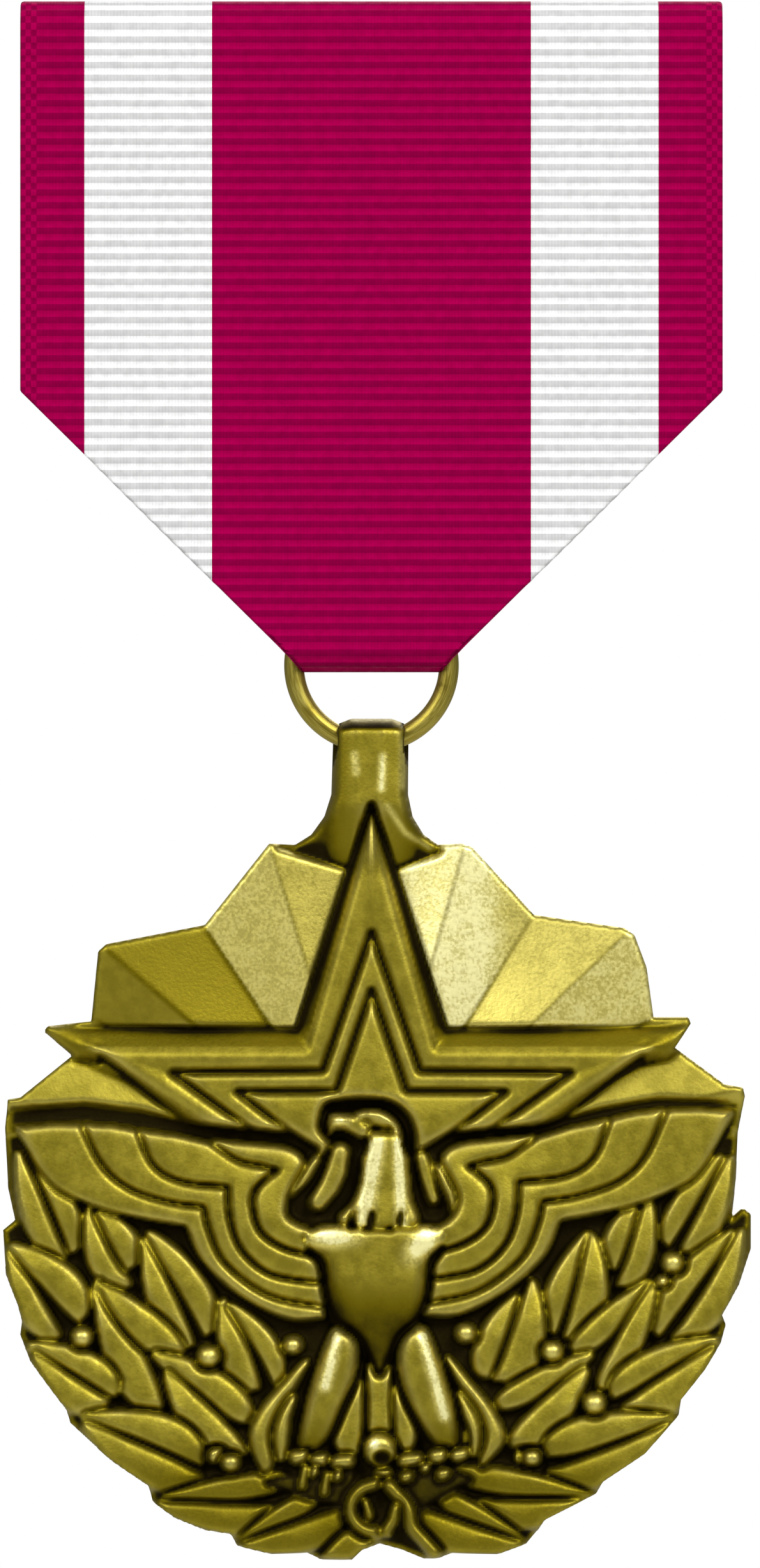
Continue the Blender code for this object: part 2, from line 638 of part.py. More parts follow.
def feather(upper, lower, rank, work):
    """Rounded band between two wing edges, lifted towards the breast."""
    rings = []
    last = len(upper) - 1
    for i, (a, b) in enumerate(zip(upper, lower)):
        a, b = Vector(a), Vector(b)
        lift = 0.7 * (i / last) - 0.06 * rank
        shrink = (b - a) * 0.06
        section = (
            (a + shrink, 0.8), (a + shrink, 1.9 + lift * 0.6), ((a + b) / 2, 2.55 + lift),
            (b - shrink, 1.9 + lift * 0.6), (b - shrink, 0.8),
        )
        rings.append([on_pendant(*place, height) for place, height in section])
    return loft("feather", rings, work)


def make_wings(work):
    feathers = []
    for side in (lambda point: point, right_side):
        edges = [[side(point) for point in edge] for edge in WING_EDGES]
        for rank, (upper, lower) in enumerate(zip(edges, edges[1:])):
            feathers.append(feather(upper, lower, rank, work))
    return feathers


def make_star(work):
    centre = Vector(STAR_CENTRE)
    rings = []
    for share, height in STAR_STEPS:
        rings.append([on_pendant(*centre.lerp(Vector(point), share), height) for point in STAR_RIM])
    return loft("star", rings, work)


def make_fan(work):
    """Faceted rays: ridges and valleys run out from the pendant's middle."""
    floor = [on_pendant(x, z, 0.8) for x, z, _ in FAN_RIM]
    rim = [on_pendant(x, z, height) for x, z, height in FAN_RIM]
    centre = Vector(FAN_CENTRE)
    hub = []
    for x, z, height in FAN_RIM:
        hub.append(on_pendant(*centre.lerp(Vector((x, z)), 0.05), height))
    return loft("fan", [floor, rim, hub], work)


def make_eagle(work):
    parts = []
    for across, up, height, half_x, half_z, half_y, turn in EAGLE:
        parts.append(ellipsoid("eagle", (across, up, height), (half_x, half_z, half_y), turn, work))
    for across, up, radius in CLAWS:
        parts.append(ellipsoid("claw", (across, up, 1.6), (radius, radius, 0.8), 0, work, 8, 5))
    return parts


def make_knot(across, up, major, minor, work):
    """Loop of the ribbon that ties the wreath."""
    bpy.ops.mesh.primitive_torus_add(
        major_segments=16,
        minor_segments=8,
        major_radius=major * MM,
        minor_radius=minor * MM,
        rotation=(math.pi / 2, 0.0, 0.0),
        location=on_pendant(across, up, 1.75) * MM,
    )
    knot = bpy.context.object
    for other in list(knot.users_collection):
        other.objects.unlink(knot)
    work.objects.link(knot)
    return apply_place(knot)


def make_lug_bore(work):
    """Bore along X, flared at both ends so that the curved wire turns in it freely."""
    reach = LUG_HALF_WIDTH + 0.6
    count = 8
    profile = [(0.0, reach)]
    for i in range(count + 1):
        x = reach * (1 - 2 * i / count)
        profile.append((LUG_BORE_R + LUG_FLARE * (x / LUG_HALF_WIDTH) ** 2, x))
    profile.append((0.0, -reach))
    bore = turned("bore", profile, 20, work)
    bore.rotation_euler = (0.0, math.pi / 2, 0.0)
    wire_up = PENDANT_DROP - RING_R
    bore.location = on_pendant(0.0, wire_up, BACK_Y - RING_Y) * MM
    bpy.context.view_layer.update()
    return apply_place(bore)


def make_pendant(work):
    plate = upright(flat_shape("plate", [OUTLINE], PLATE_H / 2, work), -PLATE_H / 2)
    lug = upright(flat_shape("lug", [LUG_OUTLINE], LUG_H / 2, work), -LUG_H / 2)
    relief = [lug, make_fan(work), make_star(work)]
    relief += make_wings(work)
    relief += [leaf(*row, work) for row in LEAVES]
    relief += [ellipsoid("berry", (x, z, 1.6), (r, r, 0.85), 0, work, 10, 6) for x, z, r in BERRIES]
    relief += make_eagle(work)
    relief += [make_knot(*row, work) for row in KNOTS]
    pendant = combine(plate, relief, "UNION", "MANIFOLD")
    pendant = combine(pendant, [make_lug_bore(work)], "DIFFERENCE", "MANIFOLD")
    pendant.location = Vector((0.0, BACK_Y, PENDANT_Z)) * MM
    bpy.context.view_layer.update()
    return apply_place(pendant)


# ---------------------------------------------------------------- assembly


def build():
    clear_scene()
    parts = new_collection("service_medal")
    work = new_collection("construction")
    bronze = material("aged_bronze", BRONZE)
    brass = material("brooch_brass", BRASS)
    steel = material("pin_steel", STEEL)
    ruby = material("ribbon_cloth", RUBY)
    rail_axis = (0.0, RAIL_Y, RAIL_Z)
    ring_axis = (0.0, RING_Y, RING_Z + RING_TILT_RISE)
    lug_axis = (0.0, RING_Y, RING_Z - RING_R)
    hinge_axis = (HINGE_X, PIN_Y, PIN_Z)
    catch_axis = (CATCH_X, PIN_Y, PIN_Z)
    finish(make_brooch_plate(work), "brooch_plate", (0, 0, 0), parts, brass)
    finish(make_hinge_bracket(work), "pin_hinge_bracket", hinge_axis, parts, brass)
    finish(make_hinge_rivet(work), "pin_hinge_rivet", hinge_axis, parts, steel)
    finish(make_pin_stem(work), "pin_stem", hinge_axis, parts, steel)
    finish(make_catch_housing(work), "catch_housing", catch_axis, parts, brass)
    finish(make_catch_rotor(work), "catch_rotor", catch_axis, parts, brass)
    finish(make_ribbon(work), "ribbon", rail_axis, parts, ruby)
    finish(make_ring(work), "suspension_ring", ring_axis, parts, bronze)
    finish(make_pendant(work), "pendant", lug_axis, parts, bronze)
    bpy.data.collections.remove(work)


build()
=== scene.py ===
"""Looks of the service medal: a struck bronze relief, a ribbed ribbon, a wire ring and a brass brooch.

Lengths are in millimetres and become metres through MM. The pendant's relief is drawn in its own plane:
across to the right, up from the middle of its round part, and height forwards from its flat back.
"""

import json
import math

import bmesh
import bpy
import numpy as np
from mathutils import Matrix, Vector, geometry


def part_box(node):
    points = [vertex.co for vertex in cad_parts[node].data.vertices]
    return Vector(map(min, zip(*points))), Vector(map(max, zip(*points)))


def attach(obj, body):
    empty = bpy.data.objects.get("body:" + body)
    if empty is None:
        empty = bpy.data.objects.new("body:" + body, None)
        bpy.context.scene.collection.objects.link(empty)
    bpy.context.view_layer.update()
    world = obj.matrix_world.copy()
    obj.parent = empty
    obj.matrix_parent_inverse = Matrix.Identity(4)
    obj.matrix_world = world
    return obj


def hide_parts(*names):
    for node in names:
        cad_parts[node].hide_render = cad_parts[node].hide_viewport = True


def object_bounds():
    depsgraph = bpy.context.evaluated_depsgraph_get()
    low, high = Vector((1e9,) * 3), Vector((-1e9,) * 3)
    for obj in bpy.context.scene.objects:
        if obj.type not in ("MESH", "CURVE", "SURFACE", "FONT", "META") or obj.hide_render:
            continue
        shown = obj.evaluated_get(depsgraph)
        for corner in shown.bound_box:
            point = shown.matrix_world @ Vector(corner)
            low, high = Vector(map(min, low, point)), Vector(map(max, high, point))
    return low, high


MM = 0.001

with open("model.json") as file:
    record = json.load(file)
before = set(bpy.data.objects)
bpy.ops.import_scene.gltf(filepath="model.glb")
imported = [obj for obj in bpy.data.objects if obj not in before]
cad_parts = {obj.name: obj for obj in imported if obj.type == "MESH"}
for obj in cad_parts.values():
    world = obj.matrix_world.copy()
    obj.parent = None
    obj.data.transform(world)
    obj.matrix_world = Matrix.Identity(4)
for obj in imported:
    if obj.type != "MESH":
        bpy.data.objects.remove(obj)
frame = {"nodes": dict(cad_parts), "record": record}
cad_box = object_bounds()


# ---------------------------------------------------------------- small helpers


def box_mm(node):
    """Low and high corner of a CAD node's box: across, depth and height."""
    return [[value / MM for value in corner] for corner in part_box(node)]


def joint_mm(name):
    """Place of a joint: across, depth and height."""
    joints = {joint["name"]: joint for joint in frame["record"]["behaviour"]["joints"]}
    return [value / MM for value in joints[name]["pos_m"]]


def smooth(t):
    """Smooth step from 0 to 1 as t goes from 0 to 1."""
    t = np.clip(t, 0.0, 1.0)
    return t * t * (3.0 - 2.0 * t)


def near(distance, reach):
    """1 at no distance, falling smoothly to 0 at reach."""
    return 1.0 - smooth(distance / reach)


def turned(k, count):
    """Angle of step k when a full turn has count steps."""
    return 2 * math.pi * k / count


def arc(centre, radius, start, end, count):
    angles = np.radians(np.linspace(start, end, count + 1))
    return [(centre[0] + radius * math.cos(a), centre[1] + radius * math.sin(a)) for a in angles]


def spline(points, steps=8, closed=False):
    """Points of a Catmull-Rom curve through the given ones."""
    points = [np.array(p, float) for p in points]
    count = len(points)
    made = []
    for i in range(count if closed else count - 1):
        if closed:
            a, b, c, d = (points[(i + k) % count] for k in (-1, 0, 1, 2))
        else:
            b, c = points[i], points[i + 1]
            a = points[i - 1] if i > 0 else 2 * b - c
            d = points[i + 2] if i + 2 < count else 2 * c - b
        bend = 2 * a - 5 * b + 4 * c - d
        twist = 3 * b - a - 3 * c + d
        for k in range(steps):
            t = k / steps
            made.append(0.5 * (2 * b + (c - a) * t + bend * t**2 + twist * t**3))
    if not closed:
        made.append(points[-1])
    return [tuple(p) for p in made]


def mirrored(points):
    return [(-x, z) for x, z in points]


def add_object(name, data):
    obj = bpy.data.objects.new(name, data)
    bpy.context.scene.collection.objects.link(obj)
    return obj


def mesh_object(name, points, faces):
    """Smooth object from points in the frame, with its faces turned outwards."""
    mesh = bpy.data.meshes.new(name)
    mesh.from_pydata((np.array(points) * MM).tolist(), [], faces)
    work = bmesh.new()
    work.from_mesh(mesh)
    bmesh.ops.recalc_face_normals(work, faces=work.faces)
    work.to_mesh(mesh)
    work.free()
    mesh.shade_smooth()
    return add_object(name, mesh)


def tube_faces(rings, sides, start=0):
    """Faces of a tube with closed ends, whose points run round one ring after another."""
    faces = []
    for i in range(rings - 1):
        a, b = start + i * sides, start + (i + 1) * sides
        for k in range(sides):
            m = (k + 1) % sides
            faces.append((a + k, a + m, b + m, b + k))
    faces.append(tuple(start + k for k in reversed(range(sides))))
    faces.append(tuple(start + (rings - 1) * sides + k for k in range(sides)))
    return faces


def sheet_faces(rows, columns):
    """Faces of two equal grids of points, one behind the other, joined round their edges."""
    wide = columns + 1
    size = (rows + 1) * wide
    faces = []
    for i in range(rows):
        for k in range(columns):
            a = i * wide + k
            faces.append((a, a + 1, a + wide + 1, a + wide))
            faces.append((size + a, size + a + wide, size + a + wide + 1, size + a + 1))
    border = [k for k in range(columns)] + [i * wide + columns for i in range(rows)]
    border += [rows * wide + k for k in range(columns, 0, -1)] + [i * wide for i in range(rows, 0, -1)]
    for a, b in zip(border, border[1:] + border[:1]):
        faces.append((b, a, size + a, size + b))
    return faces


def add_point_values(obj, name, values):
    """Three values at every vertex that a material reads by name."""
    attribute = obj.data.attributes.new(name, "FLOAT_COLOR", "POINT")
    full = np.ones((len(values), 4), np.float32)
    full[:, :3] = values
    attribute.data.foreach_set("color", full.ravel())


# ---------------------------------------------------------------- the pendant's relief

CELL = 0.11
XS = np.arange(-19.6, 19.6, CELL)
ZS = np.arange(-19.4, 24.0, CELL)
X, Z = np.meshgrid(XS, ZS)
FLOOR = 1.2
RIM_ROUND = 0.2
RIM_DROP = 0.25
FAR = 1e9

# At every relief point: its height, its depth inside the silhouette, its painted highlight, and its darkening
# by dirt and painted shade.
relief = np.full(X.shape, FLOOR)
body = np.full(X.shape, -FAR)
painted_highlight = np.zeros(X.shape)
grime_and_shade = np.zeros(X.shape)


# ---- drawing tools


def segment_distance(ax, az, bx, bz):
    """Distance from each relief point to a segment, and the share of the way along it."""
    ex, ez = bx - ax, bz - az
    t = np.clip(((X - ax) * ex + (Z - az) * ez) / max(ex * ex + ez * ez, 1e-9), 0.0, 1.0)
    return np.hypot(X - ax - t * ex, Z - az - t * ez), t


def line_distance(points):
    nearest = np.full(X.shape, FAR)
    for a, b in zip(points, points[1:]):
        nearest = np.minimum(nearest, segment_distance(*a, *b)[0])
    return nearest


def outline_depth(outline):
    """Distance from each relief point to a closed outline, positive inside."""
    points = [*outline, outline[0]]
    inside = np.zeros(X.shape, bool)
    for (ax, az), (bx, bz) in zip(points, points[1:]):
        if az != bz:
            crossed = (az > Z) != (bz > Z)
            inside ^= crossed & (X < (bx - ax) * (Z - az) / (bz - az) + ax)
    return np.where(inside, 1.0, -1.0) * line_distance(points)


def rounded_depth(points, steps=5):
    """Depth inside the smooth closed curve through the points."""
    return outline_depth(spline(points, steps, closed=True))


def tube(path, radii):
    """Share of the radius (0 on the path, 1 at the edge) and depth inside a path whose radius changes."""
    share = np.full(X.shape, FAR)
    depth = np.full(X.shape, -FAR)
    for a, b, ra, rb in zip(path, path[1:], radii, radii[1:]):
        away, t = segment_distance(*a, *b)
        radius = ra + (rb - ra) * t
        share = np.minimum(share, away / radius)
        depth = np.maximum(depth, radius - away)
    return share, depth


def spot(x, z, wide, tall=None):
    """Soft spot, 1 at its middle."""
    return np.exp(-(((X - x) / wide) ** 2) - ((Z - z) / (tall or wide)) ** 2)


def streak(path, wide):
    """Soft line, 1 along its middle."""
    return np.exp(-((line_distance(path) / wide) ** 2))


def pillow(depth, radius):
    """Quarter-round rise from 0 at an edge to 1 at radius millimetres inside it."""
    return np.sqrt(1.0 - (1.0 - np.clip(depth / radius, 0.0, 1.0)) ** 2)


def lay(depth, top, foot, edge=0.3, trench=0.3, floor=FLOOR):
    """Lay a raised shape on the relief, with rounded edges and a cut round it that goes down to the floor."""
    global relief, painted_highlight, grime_and_shade
    under = np.minimum(relief, floor + np.maximum(relief - floor, 0.0) * smooth(-depth / trench))
    lifted = foot + (top - foot) * pillow(depth, edge)
    weight = smooth(depth / CELL + 0.5)
    relief = under * (1.0 - weight) + lifted * weight
    painted_highlight = painted_highlight * smooth(-depth / trench)
    grime_and_shade = grime_and_shade * (1.0 - weight)


def lay_tube(path, radii, low, high, trench=0.25):
    """Lay a round bar that rises from low at its edges to high along its middle."""
    share, depth = tube(path, radii)
    top = low + (high - low) * np.sqrt(np.clip(1.0 - share**2, 0.0, 1.0))
    lay(depth, top, low, 0.12, trench)


def carve(points, width, depth):
    """Cut a soft groove along a line."""
    global relief
    relief = relief - depth * near(line_distance(points), width)


def sink(depth, height, share=0.3):
    """Lower everything inside a shape to one height, with soft edges."""
    global relief, grime_and_shade, painted_highlight
    inside = smooth(depth / share + 0.5)
    relief = relief * (1.0 - inside) + height * inside
    grime_and_shade = grime_and_shade * (1.0 - inside)
    painted_highlight = painted_highlight * (1.0 - inside)


def paint_highlight(amount):
    """Paint a highlight on part of the relief."""
    global painted_highlight
    painted_highlight = np.clip(np.maximum(painted_highlight, amount), 0.0, 1.0)


def add_grime_and_shade(amount):
    """Darken part of the relief: some calls lay dirt, others painted shade."""
    global grime_and_shade
    grime_and_shade = grime_and_shade + amount


def raise_by(amount):
    """Lift part of the relief, or lower it where the amount is below 0."""
    global relief
    relief = relief + amount


# ---- rays and star

# Outline of the pendant below its lug, clockwise from the lug's left foot.
OUTLINE = (
    (-3.8, 17.1), (3.2, 17.15), (4.5, 17.15), (5.0, 17.0), (8.1, 13.6), (12.6, 12.95), (13.1, 12.6),
    (13.7, 11.0), (14.05, 8.5), (15.8, 8.5), (15.9, 8.2), (15.1, 7.0), (17.6, 5.15), (18.5, 5.0),
    (18.6, 4.6), (18.25, 2.8), (18.15, 0.5), (17.95, -1.5), (18.5, -1.0), (18.9, -1.3), (18.9, -3.0),
    (18.3, -4.8), (17.45, -6.3), (17.65, -6.8), (17.4, -7.7), (16.6, -9.0), (15.4, -10.5), (15.3, -11.3),
    (13.6, -13.2), (11.5, -14.6), (11.2, -15.2), (8.6, -16.5), (8.3, -17.0), (7.7, -17.7), (6.3, -18.2),
    (4.0, -18.15), (3.4, -18.4), (2.6, -18.45), (1.5, -18.0), (0.4, -17.7), (-0.5, -18.0), (-1.0, -18.5),
    (-2.5, -18.5), (-3.2, -18.15), (-5.0, -18.2), (-6.7, -17.8), (-7.0, -17.2), (-8.3, -17.0),
    (-9.8, -16.4), (-10.9, -15.6), (-11.1, -14.8), (-13.0, -13.5), (-15.0, -11.7), (-15.2, -11.0),
    (-17.0, -8.6), (-17.5, -7.3), (-17.4, -6.6), (-17.6, -5.8), (-18.2, -4.3), (-18.35, -2.1),
    (-17.75, -1.6), (-18.1, 0.0), (-18.25, 3.0), (-18.1, 4.4), (-17.5, 4.5), (-14.9, 6.6), (-16.3, 7.8),
    (-16.15, 8.05), (-13.95, 8.3), (-13.6, 11.8), (-13.2, 12.15), (-8.3, 13.1), (-5.1, 17.15),
)
# The rays spread from here.
FAN_CENTRE = (0.0, 0.5)
# Rays: rim points with their heights, clockwise from the lower left; ridges are high and valleys low.
RAYS = (
    (-18.2, 3.0, 1.6), (-17.8, 4.4, 2.1), (-14.9, 6.4, 1.6), (-13.8, 8.4, 1.75), (-13.2, 11.9, 2.35),
    (-8.3, 13.0, 1.7), (-5.0, 16.9, 2.35), (-1.2, 16.7, 1.75), (1.2, 16.7, 1.75), (4.6, 16.9, 2.35),
    (8.0, 13.5, 1.7), (12.7, 12.7, 2.35), (13.9, 8.4, 1.75), (15.2, 6.8, 1.6), (18.0, 4.9, 2.1),
    (18.2, 3.5, 1.6),
)
# Painted highlight on each facet between two of the rays' points, or below 0 how dark its painted shade is.
FACET_PAINTED_LIGHT = (0.15, 0.1, 0.0, -0.2, -0.35, 0.6, 0.3, 0.1, 0.88, 0.95, 0.42, 0.7, 0.1, 0.15, 0.2)
# The one facet whose painted highlight fades towards its right side.
FADING_FACET = 9
FAN_LOWEST = 2.4
# Star and the two smaller stars cut into it: apex, upper inner corner, tip, lower inner corner, leg tip.
STARS = (
    ((0.0, 18.6), (3.3, 7.05), (14.1, 7.05), (5.2, 1.15), (9.4, -9.6)),
    ((0.0, 12.85), (2.42, 5.88), (9.95, 5.8), (3.9, 1.45), (5.8, -4.4)),
    ((0.0, 9.95), (1.75, 4.88), (6.7, 4.85), (2.3, 1.45), (3.9, -2.3)),
)
# Where the star's sloping sides meet the rays, and the outline of the slope round its right tip.
STAR_FOOT = ((0.0, 19.1), (3.7, 7.85), (15.0, 7.95), (6.0, 0.6), (10.4, -10.6))
STAR_TIP = ((13.2, 7.8), (16.2, 8.15), (16.3, 7.8), (14.8, 6.4), (13.6, 6.3))
# Below this the wreath hides the star.
STAR_LOWEST = -3.5
# Height of the star's border, and of the slope at the rays and just under the border.
STAR_BORDER = 2.5
STAR_SLOPE = (1.75, 2.45)
# Half width of each cut in the star and its depth.
STAR_CUT = (0.26, 0.6)


def draw_rays():
    """Fan of flat facets round the upper half, each with a painted highlight or painted shade, and a painted
    dark line along the ridges and valleys.
    """
    global relief, painted_highlight
    across, up = X - FAN_CENTRE[0], Z - FAN_CENTRE[1]
    turn, reach = np.arctan2(across, up), np.hypot(across, up)
    angles = [math.atan2(x - FAN_CENTRE[0], z - FAN_CENTRE[1]) for x, z, _ in RAYS]
    facets = np.interp(turn, angles, [height for _, _, height in RAYS])
    slope = 0.05 * smooth((X + 2.0) / 5.0) * (reach - 10.0)
    fan = smooth((Z - FAN_LOWEST) / 0.4) * (outline_depth(OUTLINE) > -0.2)
    relief = relief * (1.0 - fan) + (facets - slope) * fan
    facet = np.clip(np.searchsorted(angles, turn) - 1, 0, len(FACET_PAINTED_LIGHT) - 1)
    # Painted highlight on the facets that face the light, painted shade on those that face away.
    shade = np.array(FACET_PAINTED_LIGHT)[facet] * fan
    fade = np.where(facet == FADING_FACET, 0.45 * smooth((X - 5.2) / 2.4), 0.0)
    painted_highlight = np.maximum(shade - fade, 0.0)
    add_grime_and_shade(np.maximum(-shade, 0.0))
    # Painted shade line along the ridges and valleys.
    ridge = np.min([np.abs(turn - a) for a in angles[1:-1]], axis=0) * reach
    add_grime_and_shade(0.3 * near(ridge - 0.06, 0.12) * fan)


def star_points(row):
    apex, *right = row
    return [apex, *right, (0.0, right[-1][1] * 0.25), *mirrored(reversed(right))]


def draw_star():
    """Raised star with sloping sides under painted shadow, whose border and inner strip are parted by two
    darkened cut stars.
    """
    outer, middle, inner = (outline_depth(star_points(row)) for row in STARS)
    tips = np.maximum(outline_depth(STAR_TIP), outline_depth(mirrored(STAR_TIP)))
    side = np.maximum(outline_depth(star_points(STAR_FOOT)), tips)
    side = np.where(Z > STAR_LOWEST, side, -FAR)
    slope = np.clip(side / np.maximum(side - outer, 0.05), 0.0, 1.0)
    lay(side, STAR_SLOPE[0] + (STAR_SLOPE[1] - STAR_SLOPE[0]) * slope, 1.65, 0.1, 0.22, 1.3)
    # Painted shadow on the star's sloping sides, heavier on the steep sides of its upper point.
    steep = smooth((Z - 7.7) / 0.5) * smooth((5.0 - np.abs(X)) / 0.5)
    add_grime_and_shade((0.42 + 0.3 * steep) * (side > 0) * smooth(0.5 - outer / 0.15))
    top = STAR_BORDER + 0.22 * smooth(outer / 0.45) - 0.1 * smooth((outer - 0.5) / 0.6)
    top = top + 0.2 * near(np.abs(X), 0.3) * smooth((Z - 13.2) / 1.5)
    top = top + 0.1 * smooth(inner / 1.2)
    lay(np.where(Z > STAR_LOWEST, outer, -FAR), top, STAR_BORDER - 0.08, 0.12, 0.05, 1.9)
    for cut in (middle, inner):
        raise_by(-STAR_CUT[1] * near(np.abs(cut), STAR_CUT[0]) * (outer > 0.3))
        # The cuts are darkened along their length.
        add_grime_and_shade(0.5 * near(np.abs(cut), 0.2) * (outer > 0.3))


# ---- wings

# Dark ground between the left wing and the star above it.
WING_SHADOW = (
    (-18.3, 3.95), (-14.3, 4.25), (-11.5, 3.9), (-8.6, 3.2), (-4.0, 2.8), (-2.6, 2.0), (-3.2, 1.2),
    (-8.0, 2.0), (-11.5, 2.5), (-14.0, 2.8), (-18.2, 2.7),
)
SHADOW_HEIGHT = 1.35
# Left wing: five curves from the wing's tip to the breast, each in stretches that meet at a corner.
WING_CURVES = (
    (((-8.0, 2.45), (-6.0, 2.3), (-4.1, 2.05), (-3.3, 1.35), (-3.75, 0.4), (-4.15, -0.5), (-3.95, -1.4),
      (-3.1, -1.95), (-1.5, -2.2)),),
    (((-7.9, 2.3), (-6.6, 1.45), (-5.5, 1.2), (-4.6, 0.95)),
     ((-4.6, 0.95), (-5.2, 0.5), (-5.75, -0.1), (-5.85, -0.9), (-5.45, -2.1), (-4.3, -2.9), (-2.7, -3.3))),
    (((-11.6, 2.95), (-10.8, 1.2), (-9.4, 0.4), (-7.1, 0.15)),
     ((-7.1, 0.15), (-7.0, -1.4), (-6.45, -2.95), (-5.2, -4.1), (-3.6, -4.5), (-2.3, -4.6))),
    (((-14.4, 3.25), (-13.35, 1.2), (-12.0, 0.05), (-10.1, -0.6), (-8.3, -0.85)),
     ((-8.3, -0.85), (-8.0, -2.1), (-7.2, -3.7), (-5.1, -5.25), (-2.3, -5.85))),
    (((-17.75, 3.05), (-16.3, 0.6), (-14.8, -0.5), (-12.5, -1.3), (-9.25, -1.9)),
     ((-9.25, -1.9), (-8.4, -3.7), (-6.5, -5.4), (-4.2, -6.5), (-2.3, -6.5))),
)


def wing_curve(stretches):
    points = []
    for stretch in stretches:
        points += spline(stretch, 6)[: None if stretch is stretches[-1] else -1]
    return points


def right_wing_point(x, z):
    """Point of the right wing for a point of the left one: mirrored, with its tip turned up a little."""
    return 0.1 - 1.01 * x, z + 0.1 - 0.02 * x + 0.35 * smooth(z / 3.0) * smooth(-(x + 8.0) / 6.0)


def draw_feather(upper, lower, rank):
    """Band between two curves, closed at the wing's tip by a slight arc."""
    outline = [*upper, *reversed(lower)]
    if rank:
        (ax, az), (bx, bz) = upper[0], lower[0]
        outline.append(((ax + bx) / 2, (az + bz) / 2 + 0.1))
    depth = outline_depth(outline)
    reach = np.hypot((np.abs(X) - 5.0) / 6.5, (Z + 1.5) / 5.0)
    top = 2.25 + 0.5 * near(reach, 1.0) + 0.14 * pillow(depth, 0.8)
    lay(depth + 0.03, top, top - 0.6, 0.22, 0.14, 1.25)


def draw_wings():
    left = [wing_curve(row) for row in WING_CURVES]
    right = [[right_wing_point(*point) for point in curve] for curve in left]
    sink(outline_depth(WING_SHADOW), SHADOW_HEIGHT)
    right_shadow = [(x, z + 0.3 * smooth((x - 8.0) / 8.0)) for x, z in mirrored(WING_SHADOW)]
    sink(outline_depth(right_shadow), SHADOW_HEIGHT)
    for wing in (left, right):
        for rank in (3, 2, 1, 0):
            draw_feather(wing[rank], wing[rank + 1], rank)


# ---- wreath

